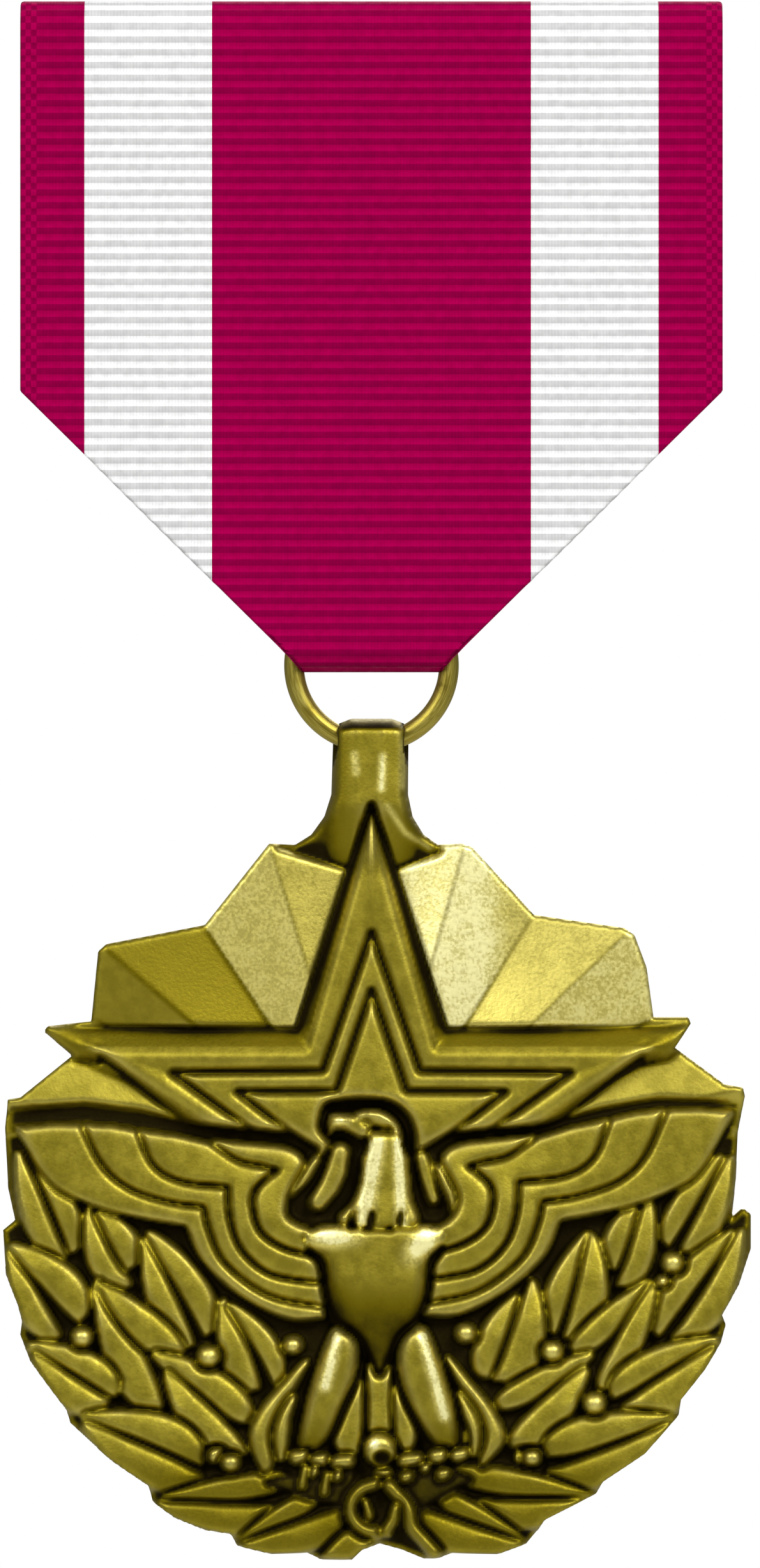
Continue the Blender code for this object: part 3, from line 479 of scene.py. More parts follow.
# Lobes of the laurel leaves, two to a leaf, from the wings down to the knot: base, tip, and the point where
# the lobe is widest on either side.
LOBES = (
    ((-15.2, -3.7), (-17.6, 1.9), (-17.15, -1.9), (-16.05, -1.5)),
    ((-14.9, -3.3), (-17.0, 1.7), (-15.75, -1.1), (-14.6, -1.2)),
    ((14.7, -2.9), (17.5, 1.7), (15.2, -0.4), (16.0, -0.9)),
    ((15.4, -3.2), (17.9, 1.6), (17.5, -1.5), (16.35, -1.2)),
    ((-11.9, -4.9), (-14.0, -0.6), (-14.15, -3.3), (-13.15, -2.5)),
    ((-12.0, -4.1), (-13.7, -1.0), (-12.9, -2.7), (-11.8, -2.3)),
    ((12.0, -4.1), (13.6, -0.3), (11.8, -2.1), (12.9, -2.3)),
    ((12.2, -4.9), (13.8, -0.2), (14.1, -2.6), (13.0, -2.9)),
    ((-8.9, -7.9), (-11.3, -2.4), (-11.25, -5.0), (-9.95, -5.1)),
    ((-8.2, -7.4), (-11.2, -2.1), (-8.75, -4.0), (-9.6, -4.9)),
    ((9.0, -7.3), (10.9, -2.1), (8.75, -5.0), (10.1, -4.6)),
    ((9.6, -7.5), (11.0, -2.2), (11.7, -4.7), (10.3, -4.9)),
    ((-15.5, -7.5), (-18.1, -2.9), (-17.6, -5.9), (-16.5, -5.5)),
    ((-14.4, -6.7), (-18.0, -2.8), (-14.9, -4.1), (-16.1, -5.1)),
    ((14.2, -7.4), (18.1, -2.1), (15.0, -4.4), (16.1, -4.9)),
    ((14.9, -7.5), (18.45, -2.0), (17.75, -5.6), (16.6, -5.1)),
    ((-10.5, -11.1), (-13.7, -4.5), (-13.25, -8.3), (-11.6, -7.9)),
    ((-9.4, -8.4), (-13.5, -4.8), (-10.9, -6.2), (-11.7, -7.5)),
    ((10.0, -8.2), (14.0, -4.6), (11.9, -5.8), (12.4, -6.8)),
    ((11.3, -10.0), (14.15, -4.7), (13.5, -7.6), (12.4, -7.3)),
    ((-5.7, -10.1), (-7.4, -5.4), (-7.5, -8.1), (-6.25, -7.8)),
    ((-4.8, -9.8), (-7.1, -5.7), (-5.1, -7.2), (-5.85, -7.7)),
    ((5.6, -9.5), (7.3, -5.2), (5.25, -7.6), (6.75, -7.4)),
    ((6.1, -9.6), (8.0, -4.4), (8.6, -7.1), (7.05, -7.2)),
    ((-12.6, -10.3), (-17.2, -7.8), (-14.1, -8.2), (-14.9, -9.3)),
    ((-13.0, -10.7), (-16.9, -8.2), (-15.4, -10.7), (-14.9, -9.45)),
    ((11.9, -10.4), (17.3, -7.5), (13.9, -8.1), (14.6, -9.1)),
    ((12.4, -11.1), (17.2, -7.9), (15.7, -10.5), (14.6, -9.4)),
    ((-6.0, -11.6), (-11.0, -8.2), (-7.3, -9.4), (-8.7, -10.3)),
    ((-6.2, -13.3), (-10.3, -9.1), (-9.5, -11.6), (-7.8, -11.2)),
    ((6.2, -10.8), (11.1, -8.2), (8.3, -9.1), (8.4, -10.3)),
    ((6.8, -12.8), (10.8, -8.9), (9.5, -11.8), (8.2, -10.9)),
    ((-8.3, -13.7), (-14.5, -11.4), (-10.9, -11.2), (-11.4, -12.7)),
    ((-8.3, -14.5), (-14.4, -11.7), (-11.7, -14.45), (-11.3, -12.9)),
    ((8.5, -13.2), (15.2, -11.5), (11.2, -11.3), (11.6, -12.8)),
    ((8.6, -14.1), (15.1, -11.7), (12.2, -14.4), (11.6, -13.1)),
    ((-4.0, -14.5), (-10.6, -15.5), (-7.4, -14.5), (-7.2, -15.5)),
    ((-4.2, -15.8), (-10.7, -15.7), (-7.9, -17.0), (-7.3, -15.8)),
    ((4.0, -14.2), (11.1, -15.4), (7.7, -14.2), (7.4, -15.3)),
    ((4.8, -15.5), (10.9, -15.6), (8.2, -16.8), (7.6, -15.6)),
    ((-2.5, -15.2), (-6.6, -17.6), (-4.9, -16.1), (-4.3, -16.7)),
    ((-1.4, -16.0), (-6.5, -17.8), (-3.9, -18.1), (-3.9, -16.8)),
    ((3.3, -15.1), (7.7, -17.6), (5.4, -15.9), (4.6, -16.6)),
    ((2.2, -15.9), (7.6, -17.8), (4.9, -18.2), (4.8, -16.8)),
)
CURLED_LEAVES = (
    ((-3.2, -8.6), (-4.4, -9.8), (-5.5, -11.1), (-6.0, -12.4), (-5.4, -14.0), (-4.85, -13.4), (-4.9, -11.9),
     (-4.1, -10.3)),
    ((-3.85, -10.4), (-4.5, -11.3), (-4.8, -12.4), (-4.5, -13.5), (-4.2, -12.6), (-4.1, -11.5)),
    ((3.7, -8.4), (5.0, -9.8), (6.1, -11.2), (6.55, -12.5), (5.5, -13.7), (5.6, -12.8), (5.55, -11.7),
     (4.7, -10.2)),
    ((4.25, -10.2), (5.1, -11.2), (5.4, -12.3), (5.05, -13.3), (4.75, -12.5), (4.6, -11.4)),
    ((4.1, -11.5), (4.5, -12.0), (4.6, -12.7), (4.2, -12.4)),
)
# Berries: across, up and radius.
BERRIES = (
    (-14.4, -7.4, 0.46), (-8.1, -8.35, 0.5), (-3.9, -7.8, 0.4), (-7.7, -13.3, 0.38), (-7.0, -13.65, 0.42),
    (15.0, -3.7, 0.46), (14.5, -4.6, 0.2), (9.0, -8.1, 0.46), (4.7, -7.2, 0.44), (11.1, -10.7, 0.5),
    (7.6, -13.4, 0.36), (8.0, -13.4, 0.4),
)
# How far a lobe reaches beyond its bowed edges.
LOBE_SPREAD = 0.17


def fullness(t):
    """Share of a lobe's greatest width at t along it: blunt at the base, pointed at the tip."""
    return np.sin(math.pi * np.clip(t, 0.0, 1.0) ** 0.68) ** 0.75


def draw_lobe(base, tip, *sides):
    """Cushion between two bowed edges that meet at the base and the tip."""
    length = math.dist(base, tip)
    along = ((tip[0] - base[0]) / length, (tip[1] - base[1]) / length)

    def local(x, z):
        x, z = x - base[0], z - base[1]
        return (x * along[0] + z * along[1]) / length, z * along[0] - x * along[1]

    t, off = local(X, Z)
    widest = [local(*point) for point in sides]
    right, left = sorted(bulge / float(fullness(at)) for at, bulge in widest)
    full = fullness(t)
    depth = np.minimum(left * full - off, off - right * full) + LOBE_SPREAD
    depth = np.where((t > 0) & (t < 1), depth, -np.hypot(np.abs(t - 0.5) * length - length / 2, off))
    room = np.maximum((left - right) / 2 * full, 0.05)
    top = 1.95 + 0.32 * pillow(depth, 0.9) + 0.12 * smooth(t)
    lay(depth, np.minimum(top, 1.8 + 0.8 * room), 1.74, 0.25, 0.2)
    # Each lobe is darker towards its base.
    add_grime_and_shade(0.16 * smooth((0.45 - t) / 0.45) * (depth > 0))


def draw_wreath():
    for row in LOBES:
        draw_lobe(*row)
    for points in CURLED_LEAVES:
        depth = rounded_depth(points)
        lay(depth + 0.2, 1.9 + 0.35 * pillow(depth + 0.08, 0.5), 1.75, 0.2, 0.18)
    for x, z, radius in BERRIES:
        lay_tube(((x - 0.05, z), (x + 0.05, z)), (radius + 0.1, radius + 0.1), 1.8, 2.35)
        # Painted highlight on each berry.
        paint_highlight(0.7 * spot(x, z, 0.25))


# ---- eagle

BREAST = (
    (-1.6, -1.75), (-2.6, -1.85), (-3.3, -2.3), (-3.1, -3.0), (-2.45, -3.7), (-2.2, -5.2), (-1.7, -6.5),
    (-0.7, -7.3), (-0.15, -8.2), (0.4, -9.2), (0.95, -8.2), (1.4, -7.3), (2.2, -6.5), (2.75, -5.2),
    (2.9, -3.8), (3.4, -3.0), (3.75, -2.2), (3.0, -1.8), (1.9, -1.65), (0.3, -1.6),
)
NECK = (
    (-0.15, 2.8), (-0.25, 1.6), (-0.35, 0.3), (-0.85, -0.9), (-1.45, -1.5), (-0.8, -1.65), (0.3, -1.8),
    (1.2, -1.7), (2.15, -1.6), (1.85, -0.6), (1.7, 0.6), (1.6, 1.8), (1.55, 2.7), (0.7, 3.1),
)
HEAD = (
    (-2.0, 3.78), (-1.2, 3.8), (-0.5, 3.92), (0.2, 4.0), (0.95, 3.7), (1.45, 3.1), (1.6, 2.4), (1.55, 1.6),
    (0.6, 1.9), (-0.3, 1.7), (-0.5, 2.3), (-0.95, 2.65), (-1.45, 2.85), (-1.8, 2.85), (-2.1, 2.55),
    (-2.25, 3.1), (-2.2, 3.55),
)
THIGHS = (
    ((-1.5, -6.75), (-2.15, -7.2), (-2.85, -9.0), (-3.4, -11.0), (-3.7, -12.8), (-2.9, -13.1),
     (-2.1, -12.4), (-1.4, -10.8), (-0.7, -9.2), (-0.55, -7.7), (-0.8, -6.95)),
    ((2.1, -6.7), (1.5, -7.0), (1.2, -8.4), (1.5, -9.9), (2.3, -11.6), (3.2, -12.8), (4.3, -12.8),
     (4.25, -11.2), (3.75, -9.3), (3.2, -7.7), (2.75, -6.9)),
)
TAIL = (
    ((-0.75, -9.3), (-1.25, -10.5), (-1.9, -12.0), (-1.5, -13.1), (-0.8, -13.2), (-0.55, -12.0),
     (-0.5, -10.4)),
    ((1.1, -9.4), (1.0, -10.8), (1.3, -12.6), (1.9, -12.9), (2.15, -12.2), (1.9, -11.2), (1.4, -10.0)),
    ((-0.1, -8.8), (-0.05, -10.5), (0.0, -12.4), (0.8, -12.4), (0.8, -10.5), (0.85, -8.8)),
)
HOLLOW = (
    (-2.6, 3.3), (-2.3, 4.2), (-1.4, 4.45), (-0.3, 4.5), (0.9, 4.35), (1.75, 3.75), (2.2, 2.7), (2.3, 1.4),
    (3.3, 0.3), (3.9, -1.2), (2.6, -1.9), (-2.0, -1.9), (-4.0, -1.5), (-4.0, -0.5), (-3.1, 0.4),
    (-2.4, 1.6), (-2.05, 2.35), (-2.5, 2.8),
)
TAIL_GROOVES = (((0.25, -9.3), (0.3, -12.1)), ((0.52, -9.3), (0.55, -12.1)))
THIGH_GLINTS = (((-1.75, -7.3), (-2.0, -8.6), (-2.3, -9.8)), ((2.55, -7.3), (3.1, -9.3), (3.65, -11.3)))
# Shoulders: across, up, width and rise of each swelling.
SHOULDERS = ((-1.7, -2.45, 1.3, 0.12), (2.55, -2.6, 1.2, 0.15))
CROWN = ((-0.6, 3.75), (0.2, 3.75), (0.9, 3.45), (1.35, 2.85))
BROW = ((-0.35, 3.4), (0.0, 3.12), (0.5, 2.92), (1.0, 2.85))
# Raised spot of the beak: across, up, width and height.
BEAK = (-1.6, 3.4, 0.5, 0.35)
# Notches between the ends of the neck's feathers.
NECK_NOTCHES = ((-1.0, -1.7), (-0.05, -1.65), (1.4, -1.6))
# The eagle stands a little to the right of the medal's middle.
EAGLE_MIDDLE = 0.3


def draw_hollow():
    """Sunk ground round the head and neck, crossed by two strips of the star's legs."""
    sink(rounded_depth(HOLLOW, 4), 1.4, 0.35)
    left_strip = ((-1.55, 1.8), (-1.75, 0.9), (-2.1, 0.1), (-2.65, -0.65))
    lay_tube(left_strip, (0.5, 0.58, 0.56, 0.48), 2.3, 2.45, 0.2)
    lay_tube(((2.5, 1.5), (2.8, 0.5), (3.1, -0.5)), (0.4, 0.4, 0.35), 1.85, 2.0, 0.2)


def draw_legs():
    """Feathered thighs on either side of three tail feathers."""
    for points in TAIL:
        depth = rounded_depth(points, 4)
        lay(depth + 0.18, 1.95 + 0.25 * pillow(depth + 0.1, 0.3), 1.75, 0.15, 0.2)
    for path in TAIL_GROOVES:
        carve(path, 0.12, 0.15)
    for points in THIGHS:
        depth = rounded_depth(points)
        fall = 0.35 * smooth((-8.0 - Z) / 5.0)
        lay(depth, 2.0 + (1.05 - fall) * pillow(depth, 0.8), 1.7, 0.15, 0.3)
        # The thighs grow darker towards their lower ends.
        add_grime_and_shade(0.4 * smooth((-10.0 - Z) / 3.0) * (depth > 0))
    # Painted highlight streaks along the thighs.
    for path in THIGH_GLINTS:
        paint_highlight(1.15 * streak(path, 0.3))


def draw_breast():
    """Round breast with two swollen shoulders, painted shade below and along its left side, and painted
    highlights on the shoulders.
    """
    depth = rounded_depth(BREAST)
    inside = depth > 0
    at_shoulder = smooth((Z + 3.4) / 0.7)
    across = np.clip((X - EAGLE_MIDDLE) / (2.95 + 1.4 * at_shoulder), -1.0, 1.0)
    top = 2.15 + 1.0 * np.sqrt(1.0 - across**2) - 0.9 * smooth((-4.2 - Z) / 5.0)
    foot = 1.8 + (0.9 + 0.4 * np.exp(-(((X - EAGLE_MIDDLE) / 1.8) ** 2))) * at_shoulder
    lay(depth, top, foot, 0.7 + 0.2 * at_shoulder, 0.32 - 0.3 * at_shoulder)
    for x, z, wide, rise in SHOULDERS:
        raise_by(rise * spot(x, z, wide, 0.62) * inside)
    # Painted shade: darker below and along the left side.
    low = smooth((-3.4 - Z) / 3.6)
    add_grime_and_shade((0.7 * low + 0.35 * smooth((-0.6 - X) / 2.0) * smooth((-2.9 - Z) / 1.0)) * inside)
    # Painted highlights on the shoulders.
    paint_highlight(1.3 * spot(-1.9, -2.4, 1.2, 0.48) * inside)
    paint_highlight(1.5 * spot(2.55 + 0.45 * (Z + 2.7), -2.7, 0.7, 0.85) * inside)


def draw_head():
    depth = rounded_depth(HEAD)
    lay(depth, 2.3 + 0.3 * smooth((X + 0.9) / 1.2) + 0.2 * pillow(depth, 0.6), 1.8, 0.25, 0.3)
    draw_neck()
    crown = spline(CROWN, 5)
    raise_by(0.25 * streak(crown, 0.18))
    # Painted highlight along the crown.
    paint_highlight(0.5 * streak(crown, 0.15))
    raise_by(0.45 * spot(*BEAK))
    # Painted highlight on the beak.
    paint_highlight(0.8 * spot(*BEAK))
    carve(spline(BROW, 5), 0.2, 0.55)
    carve(((-1.05, 3.85), (-0.85, 3.7)), 0.25, 0.4)


def draw_neck():
    """Neck with two ridges that spread downwards, each with a painted highlight along it."""
    depth = rounded_depth(NECK)
    depth = depth + 0.28 * smooth((2.2 - Z) / 0.8)
    spread = (2.4 - Z) / 3.0
    left = X - 0.25 + 0.5 * spread
    right = X - 1.35 - 0.1 * spread
    swell = 0.16 * np.exp(-((left / 0.5) ** 2)) + 0.16 * np.exp(-((right / 0.3) ** 2))
    swell = swell * smooth((2.9 - Z) / 0.5)
    trench = np.where((Z > -1.4) & (Z < 2.5), 0.4, 0.03)
    lay(depth, 2.7 + swell + 0.1 * smooth(-Z / 2.0), 2.0, 0.3, trench)
    # Painted highlights along the two ridges.
    for ridge, wide, amount in ((left, 0.42, 1.5), (right, 0.28, 1.4)):
        paint_highlight(amount * np.exp(-((ridge / wide) ** 2)) * smooth((2.7 - Z) / 0.4) * (depth > 0.1))


def draw_eagle():
    draw_hollow()
    draw_legs()
    draw_breast()
    draw_head()
    for x, z in NECK_NOTCHES:
        carve(((x, z - 0.1), (x + 0.08, z + 0.45)), 0.3, 0.6)
        # A darker spot in each notch.
        add_grime_and_shade(0.6 * spot(x, z + 0.1, 0.22, 0.3))


# ---- claws and knot

# Leaves under the claws, darkened with painted shade.
UNDER_LEAVES = (
    ((-0.9, -14.0), (-2.6, -14.1), (-5.2, -14.6), (-3.6, -15.3), (-1.2, -15.8)),
    ((1.6, -14.0), (3.6, -14.0), (5.0, -14.5), (3.8, -15.2), (2.2, -16.0)),
)
# Knobs of the claws: across, up, half length and radius.
KNOBS = (
    (-3.55, -13.35, 0.2, 0.4), (-2.55, -13.5, 0.15, 0.4), (-1.4, -13.6, 0.25, 0.42),
    (-2.9, -14.1, 0.05, 0.3), (-1.7, -14.3, 0.05, 0.3), (1.95, -13.5, 0.35, 0.38),
    (3.35, -13.3, 0.15, 0.42), (4.4, -13.25, 0.15, 0.38), (3.6, -14.2, 0.1, 0.36),
    (1.75, -14.35, 0.1, 0.34), (0.6, -14.25, 0.2, 0.34), (2.7, -13.9, 0.05, 0.26),
)
TALONS = ((-3.3, -14.5), (-2.2, -14.8))
KNOT_TAIL = (
    (-0.7, -16.8), (-1.5, -17.1), (-2.3, -17.9), (-2.5, -18.4), (-1.0, -18.5), (0.2, -17.7), (0.5, -17.3),
)
# The knot's two cords and their radii.
CORDS = (
    (((0.2, -14.7), (-0.5, -14.95), (-1.0, -15.6), (-0.95, -16.4), (-0.3, -17.0), (0.8, -17.15)), 0.36),
    (((0.9, -14.8), (1.35, -15.3), (1.85, -16.0), (2.0, -16.8), (2.6, -17.5), (3.15, -18.1)), 0.4),
)


def draw_hoop(centre, radius, hole):
    """Small loop of the cord, thickest opposite its hole and with a painted highlight there; the hole is sunk
    and darker.
    """
    depth = radius - np.hypot(X - centre[0], Z - centre[1])
    lay(depth, 2.0 + 0.65 * pillow(depth, 0.6), 1.85, 0.12, 0.2)
    inside = np.exp(-(np.hypot((X - hole[0]) / 0.42, (Z - hole[1]) / 0.34) ** 4))
    raise_by(-0.8 * inside)
    add_grime_and_shade(0.9 * inside)
    # Painted highlight opposite the hole.
    paint_highlight(1.3 * spot(centre[0] - 0.28, centre[1] + 0.3, 0.36))


def draw_claws_and_knot():
    for points in UNDER_LEAVES:
        depth = rounded_depth(points, 4)
        lay(depth, 1.72, 1.6, 0.3, 0.15)
        # Painted shade on the leaves under the claws.
        add_grime_and_shade(0.35 * (depth > 0))
    for x, z, length, radius in KNOBS:
        lay_tube(((x - length, z - 0.03), (x + length, z + 0.05)), (radius + 0.04, radius), 1.8, 2.4, 0.16)
        # Painted highlight on each knob.
        paint_highlight(0.45 * spot(x, z, 0.25))
    for x, z in TALONS:
        lay_tube(((x, z + 0.6), (x - 0.15, z - 0.3)), (0.24, 0.28), 1.75, 2.05, 0.15)
    draw_hoop((0.42, -12.98), 0.88, (0.54, -13.4))
    depth = rounded_depth(KNOT_TAIL, 4)
    lay(depth, 1.9 + 0.3 * pillow(depth, 0.5), 1.55, 0.2, 0.2)
    for points, radius in CORDS:
        cord = spline(points, 5)
        lay_tube(cord, [radius] * len(cord), 1.75, 2.35, 0.22)
    lay_tube(((-0.3, -15.6), (-0.1, -16.3)), (0.25, 0.3), 1.75, 2.0, 0.15)
    lay_tube(((0.7, -17.1), (1.1, -16.5), (1.2, -15.9)), (0.3, 0.35, 0.3), 1.75, 2.1, 0.15)


# ---- lug

LUG_TOP = 23.38
LUG_LEFT = (
    (-1.0, 23.38), (-1.6, 23.15), (-1.9, 22.8), (-2.0, 19.6), (-2.35, 18.5), (-3.0, 17.6), (-3.8, 17.1),
)
LUG_RIGHT = ((3.3, 17.1), (2.6, 17.6), (2.05, 18.5), (1.82, 19.6), (1.85, 22.8), (1.6, 23.15), (1.0, 23.38))
LUG_FOOT = ((-4.6, 17.02), (-1.2, 15.95), (1.2, 15.95), (3.4, 16.75))
# Two upright ridges on the lug: across and rise.
LUG_RIDGES = ((-0.8, 0.08), (0.55, 0.1))
# Painted highlight lines on the lug and how bright each is.
LUG_GLINTS = (
    (((-0.85, 21.6), (-0.75, 20.7)), 0.7), (((0.55, 21.5), (0.5, 19.9)), 1.0),
    (((1.62, 22.2), (1.58, 20.0)), 0.6), (((0.8, 19.0), (1.7, 17.7), (2.9, 16.9)), 0.5),
)


def draw_lug():
    """Rounded column with a flared foot that the star's upper point overlaps, with painted shade on its foot,
    left side and top and painted highlight lines.
    """
    global grime_and_shade
    depth = outline_depth([*LUG_LEFT, *LUG_FOOT, *LUG_RIGHT])
    across = np.clip(X / 2.3, -1.0, 1.0)
    top = 2.2 + 0.5 * np.sqrt(1.0 - across**2)
    for x, rise in LUG_RIDGES:
        top = top + rise * np.exp(-(((X - x) / 0.25) ** 2))
    top = top - 0.75 * smooth((19.2 - Z) / 3.0) - 0.35 * smooth((Z - 22.75) / 0.5)
    lay(depth, top, 1.5, 0.5, 0.18)
    # Painted shade on the flared foot, the left side and the top bevel, lightened along the painted highlight
    # lines.
    foot_shade = smooth((19.8 - Z) / 1.6) * (0.35 + 0.3 * smooth((np.abs(X) - 1.0) / 1.5))
    side_shade = 0.3 * smooth((-0.9 - X) / 0.6) + 0.12
    top_shade = 0.9 * smooth((Z - 22.7) / 0.3)
    grime_and_shade = np.where(depth > 0, top_shade + np.maximum(foot_shade, side_shade), grime_and_shade)
    for path, amount in LUG_GLINTS:
        glint = streak(path, 0.2)
        grime_and_shade = grime_and_shade * (1.0 - 0.7 * glint)
        paint_highlight(amount * glint)


# ---------------------------------------------------------------- relief to mesh

# Rounds the grid's steps off.
RELIEF_BLUR = 0.1
BACK_Y, PENDANT_TOP = box_mm("pendant")[1][1:]
CENTRE_Z = PENDANT_TOP - LUG_TOP
LUG_AXIS = joint_mm("pendant_swing")
# Radius of the lug's bore in its middle, and how far the cut reaches to either side.
BORE = 0.6
BORE_REACH = 3.2
# Darkening, wear and painted highlight share inside the bore: dark, without highlight.
BORE_PATINA = (0.85, 0.0, 0.0)


def blur(field, sigma, weight=None):
    """Gaussian blur; with a weight, only points of that weight count."""
    reach = int(3 * sigma / CELL) + 1
    taps = np.exp(-0.5 * (np.arange(-reach, reach + 1) * CELL / sigma) ** 2)
    taps = taps / taps.sum()

    def run(values):
        for axis in (0, 1):
            values = np.apply_along_axis(lambda line: np.convolve(line, taps, mode="same"), axis, values)
        return values

    if weight is None:
        return run(field)
    return run(field * weight) / np.maximum(run(weight), 1e-6)


def draw_pendant():
    global relief, body
    draw_rays()
    draw_lug()
    draw_star()
    draw_wreath()
    draw_wings()
    draw_eagle()
    draw_claws_and_knot()
    body = outline_depth([*reversed(LUG_LEFT), *reversed(LUG_RIGHT), *OUTLINE[2:]])
    relief = blur(relief, RELIEF_BLUR) - RIM_DROP * (1.0 - pillow(body, RIM_ROUND))


def kept_cells():
    """Cells inside the silhouette, without loose ones and cells that touch the rest only at a corner."""
    middle = (body[:-1, :-1] + body[1:, :-1] + body[:-1, 1:] + body[1:, 1:]) / 4
    keep = middle > 0
    for _ in range(6):
        padded = np.pad(keep, 1).astype(int)
        neighbours = padded[:-2, 1:-1] + padded[2:, 1:-1] + padded[1:-1, :-2] + padded[1:-1, 2:]
        keep &= neighbours >= 2
        a, b, c, d = keep[:-1, :-1], keep[:-1, 1:], keep[1:, :-1], keep[1:, 1:]
        crossed = (a & d & ~b & ~c) | (b & c & ~a & ~d)
        keep[:-1, :-1] &= ~crossed
        keep[:-1, 1:] &= ~crossed
    return keep


def snap_to_silhouette(rim):
    """Across and up of every relief point, with the rim's points moved onto the silhouette."""
    slope_z, slope_x = np.gradient(body, CELL)
    size = np.maximum(slope_x**2 + slope_z**2, 0.2)
    x, z = X.copy(), Z.copy()
    step = np.clip(body / size, -0.8 * CELL, 0.8 * CELL)
    x[rim] -= (step * slope_x)[rim]
    z[rim] -= (step * slope_z)[rim]
    return x, z


def rim_loop(quads):
    """Points round the rim in order, from the edges that only one quad has."""
    edges = np.concatenate([quads[:, (i, (i + 1) % 4)] for i in range(4)]).tolist()
    shared = {(b, a) for a, b in edges}
    after = {a: b for a, b in edges if (a, b) not in shared}
    start = next(iter(after))
    loop = [start]
    while after[loop[-1]] != start:
        loop.append(after[loop[-1]])
    return loop


def build_pendant():
    """Closed mesh: the relief in front, a wall along the silhouette and a plain back with a raised edge."""
    keep = kept_cells()
    cells_round = np.zeros(X.shape, int)
    for rows in (slice(None, -1), slice(1, None)):
        for cols in (slice(None, -1), slice(1, None)):
            cells_round[rows, cols] += keep
    used = cells_round > 0
    x, z = snap_to_silhouette(used & (cells_round < 4))
    ids = np.cumsum(used).reshape(X.shape) - 1
    front = np.stack([x[used], BACK_Y - relief[used], z[used] + CENTRE_Z], axis=1)
    r, c = np.nonzero(keep)
    quads = np.stack([ids[r, c], ids[r, c + 1], ids[r + 1, c + 1], ids[r + 1, c]], axis=1)
    loop = rim_loop(quads)
    back, back_faces = back_sheet(front[loop][:, (0, 2)])
    offset, count = len(front), len(loop)
    faces = quads.tolist()
    for i in range(count):
        j = (i + 1) % count
        faces.append((loop[j], loop[i], offset + i, offset + j))
    faces += [tuple(offset + k for k in face) for face in back_faces]
    return mesh_object("struck_pendant", np.concatenate([front, back]), faces)


# Plain bead on the back; its section holds places from its middle line and rises.
BEAD_RADIUS = 12.8
BEAD_CENTRE = -1.0
BEAD_POINTS = 240
BEAD_SECTION = ((-0.42, 0.0), (-0.25, 0.07), (0.0, 0.14), (0.25, 0.07), (0.42, 0.0))
# Rows of points along the raised edge, where the field starts and how deep it lies.
EDGE_INSETS = (0.25, 0.75, 0.95, 1.15, 1.35)
FIELD_INSET = 1.9
BACK_SUNK = 0.22


def back_height(inset):
    """The back's field lies a little below its edge."""
    return float(BACK_SUNK * smooth((inset - 0.7) / 0.5))


def cell_at(x, z):
    """Row and column of the relief point nearest to a place in the frame."""
    return int(round((z - CENTRE_Z - ZS[0]) / CELL)), int(round((x - XS[0]) / CELL))


def back_sheet(border):
    """Points and triangles of the back, inside a closed border of across and height."""
    slope_z, slope_x = np.gradient(body, CELL)
    points = [(x, z, 0.0) for x, z in border]
    for inset in EDGE_INSETS:
        for x, z in border[::2]:
            at = cell_at(x, z)
            size = math.hypot(slope_x[at], slope_z[at]) or 1.0
            x, z = x + slope_x[at] / size * inset, z + slope_z[at] / size * inset
            if abs(body[cell_at(x, z)] - inset) < 0.12:
                points.append((x, z, back_height(inset)))
    for k in range(BEAD_POINTS):
        a = turned(k, BEAD_POINTS)
        for off, rise in BEAD_SECTION:
            radius = BEAD_RADIUS + off
            z = BEAD_CENTRE + CENTRE_Z + radius * math.sin(a)
            points.append((radius * math.cos(a), z, BACK_SUNK - rise))
    step = int(1.0 / CELL)
    for row in range(0, len(ZS), step):
        for col in range(0, len(XS), step):
            from_bead = abs(math.hypot(XS[col], ZS[row] - BEAD_CENTRE) - BEAD_RADIUS)
            if body[row, col] > FIELD_INSET and from_bead > 0.7:
                points.append((XS[col], ZS[row] + CENTRE_Z, back_height(body[row, col])))
    count = len(border)
    edges = [(i, (i + 1) % count) for i in range(count)]
    flat = [Vector((x, z)) for x, z, _ in points]
    made, _, triangles, source, _, _ = geometry.delaunay_2d_cdt(flat, edges, [], 1, 1e-6)
    heights = [points[s[0]][2] if s else 0.0 for s in source]
    placed = np.array([(p.x, BACK_Y - height, p.y) for p, height in zip(made, heights)])
    return placed, [tuple(t) for t in triangles]


def bore_radius(x):
    """Radius of the lug's bore, which widens towards both mouths."""
    return BORE + 0.5 * np.minimum(np.abs(x) / 1.85, 1.2) ** 2


def cut_lug_bore(pendant):
    """Bore for the ring, from side to side through the lug."""
    sides, rings = 32, 17
    points = []
    for x in np.linspace(-BORE_REACH, BORE_REACH, rings):
        radius = float(bore_radius(x))
        for k in range(sides):
            a = turned(k, sides)
            points.append((x, LUG_AXIS[1] + radius * math.cos(a), LUG_AXIS[2] + radius * math.sin(a)))
    cutter = mesh_object("bore_cutter", points, tube_faces(rings, sides))
    modifier = pendant.modifiers.new("bore", "BOOLEAN")
    modifier.operation = "DIFFERENCE"
    modifier.solver = "MANIFOLD"
    modifier.object = cutter
    cut = bpy.data.meshes.new_from_object(pendant.evaluated_get(bpy.context.evaluated_depsgraph_get()))
    pendant.modifiers.clear()
    pendant.data = cut
    cut.shade_smooth()
    bpy.data.objects.remove(cutter)


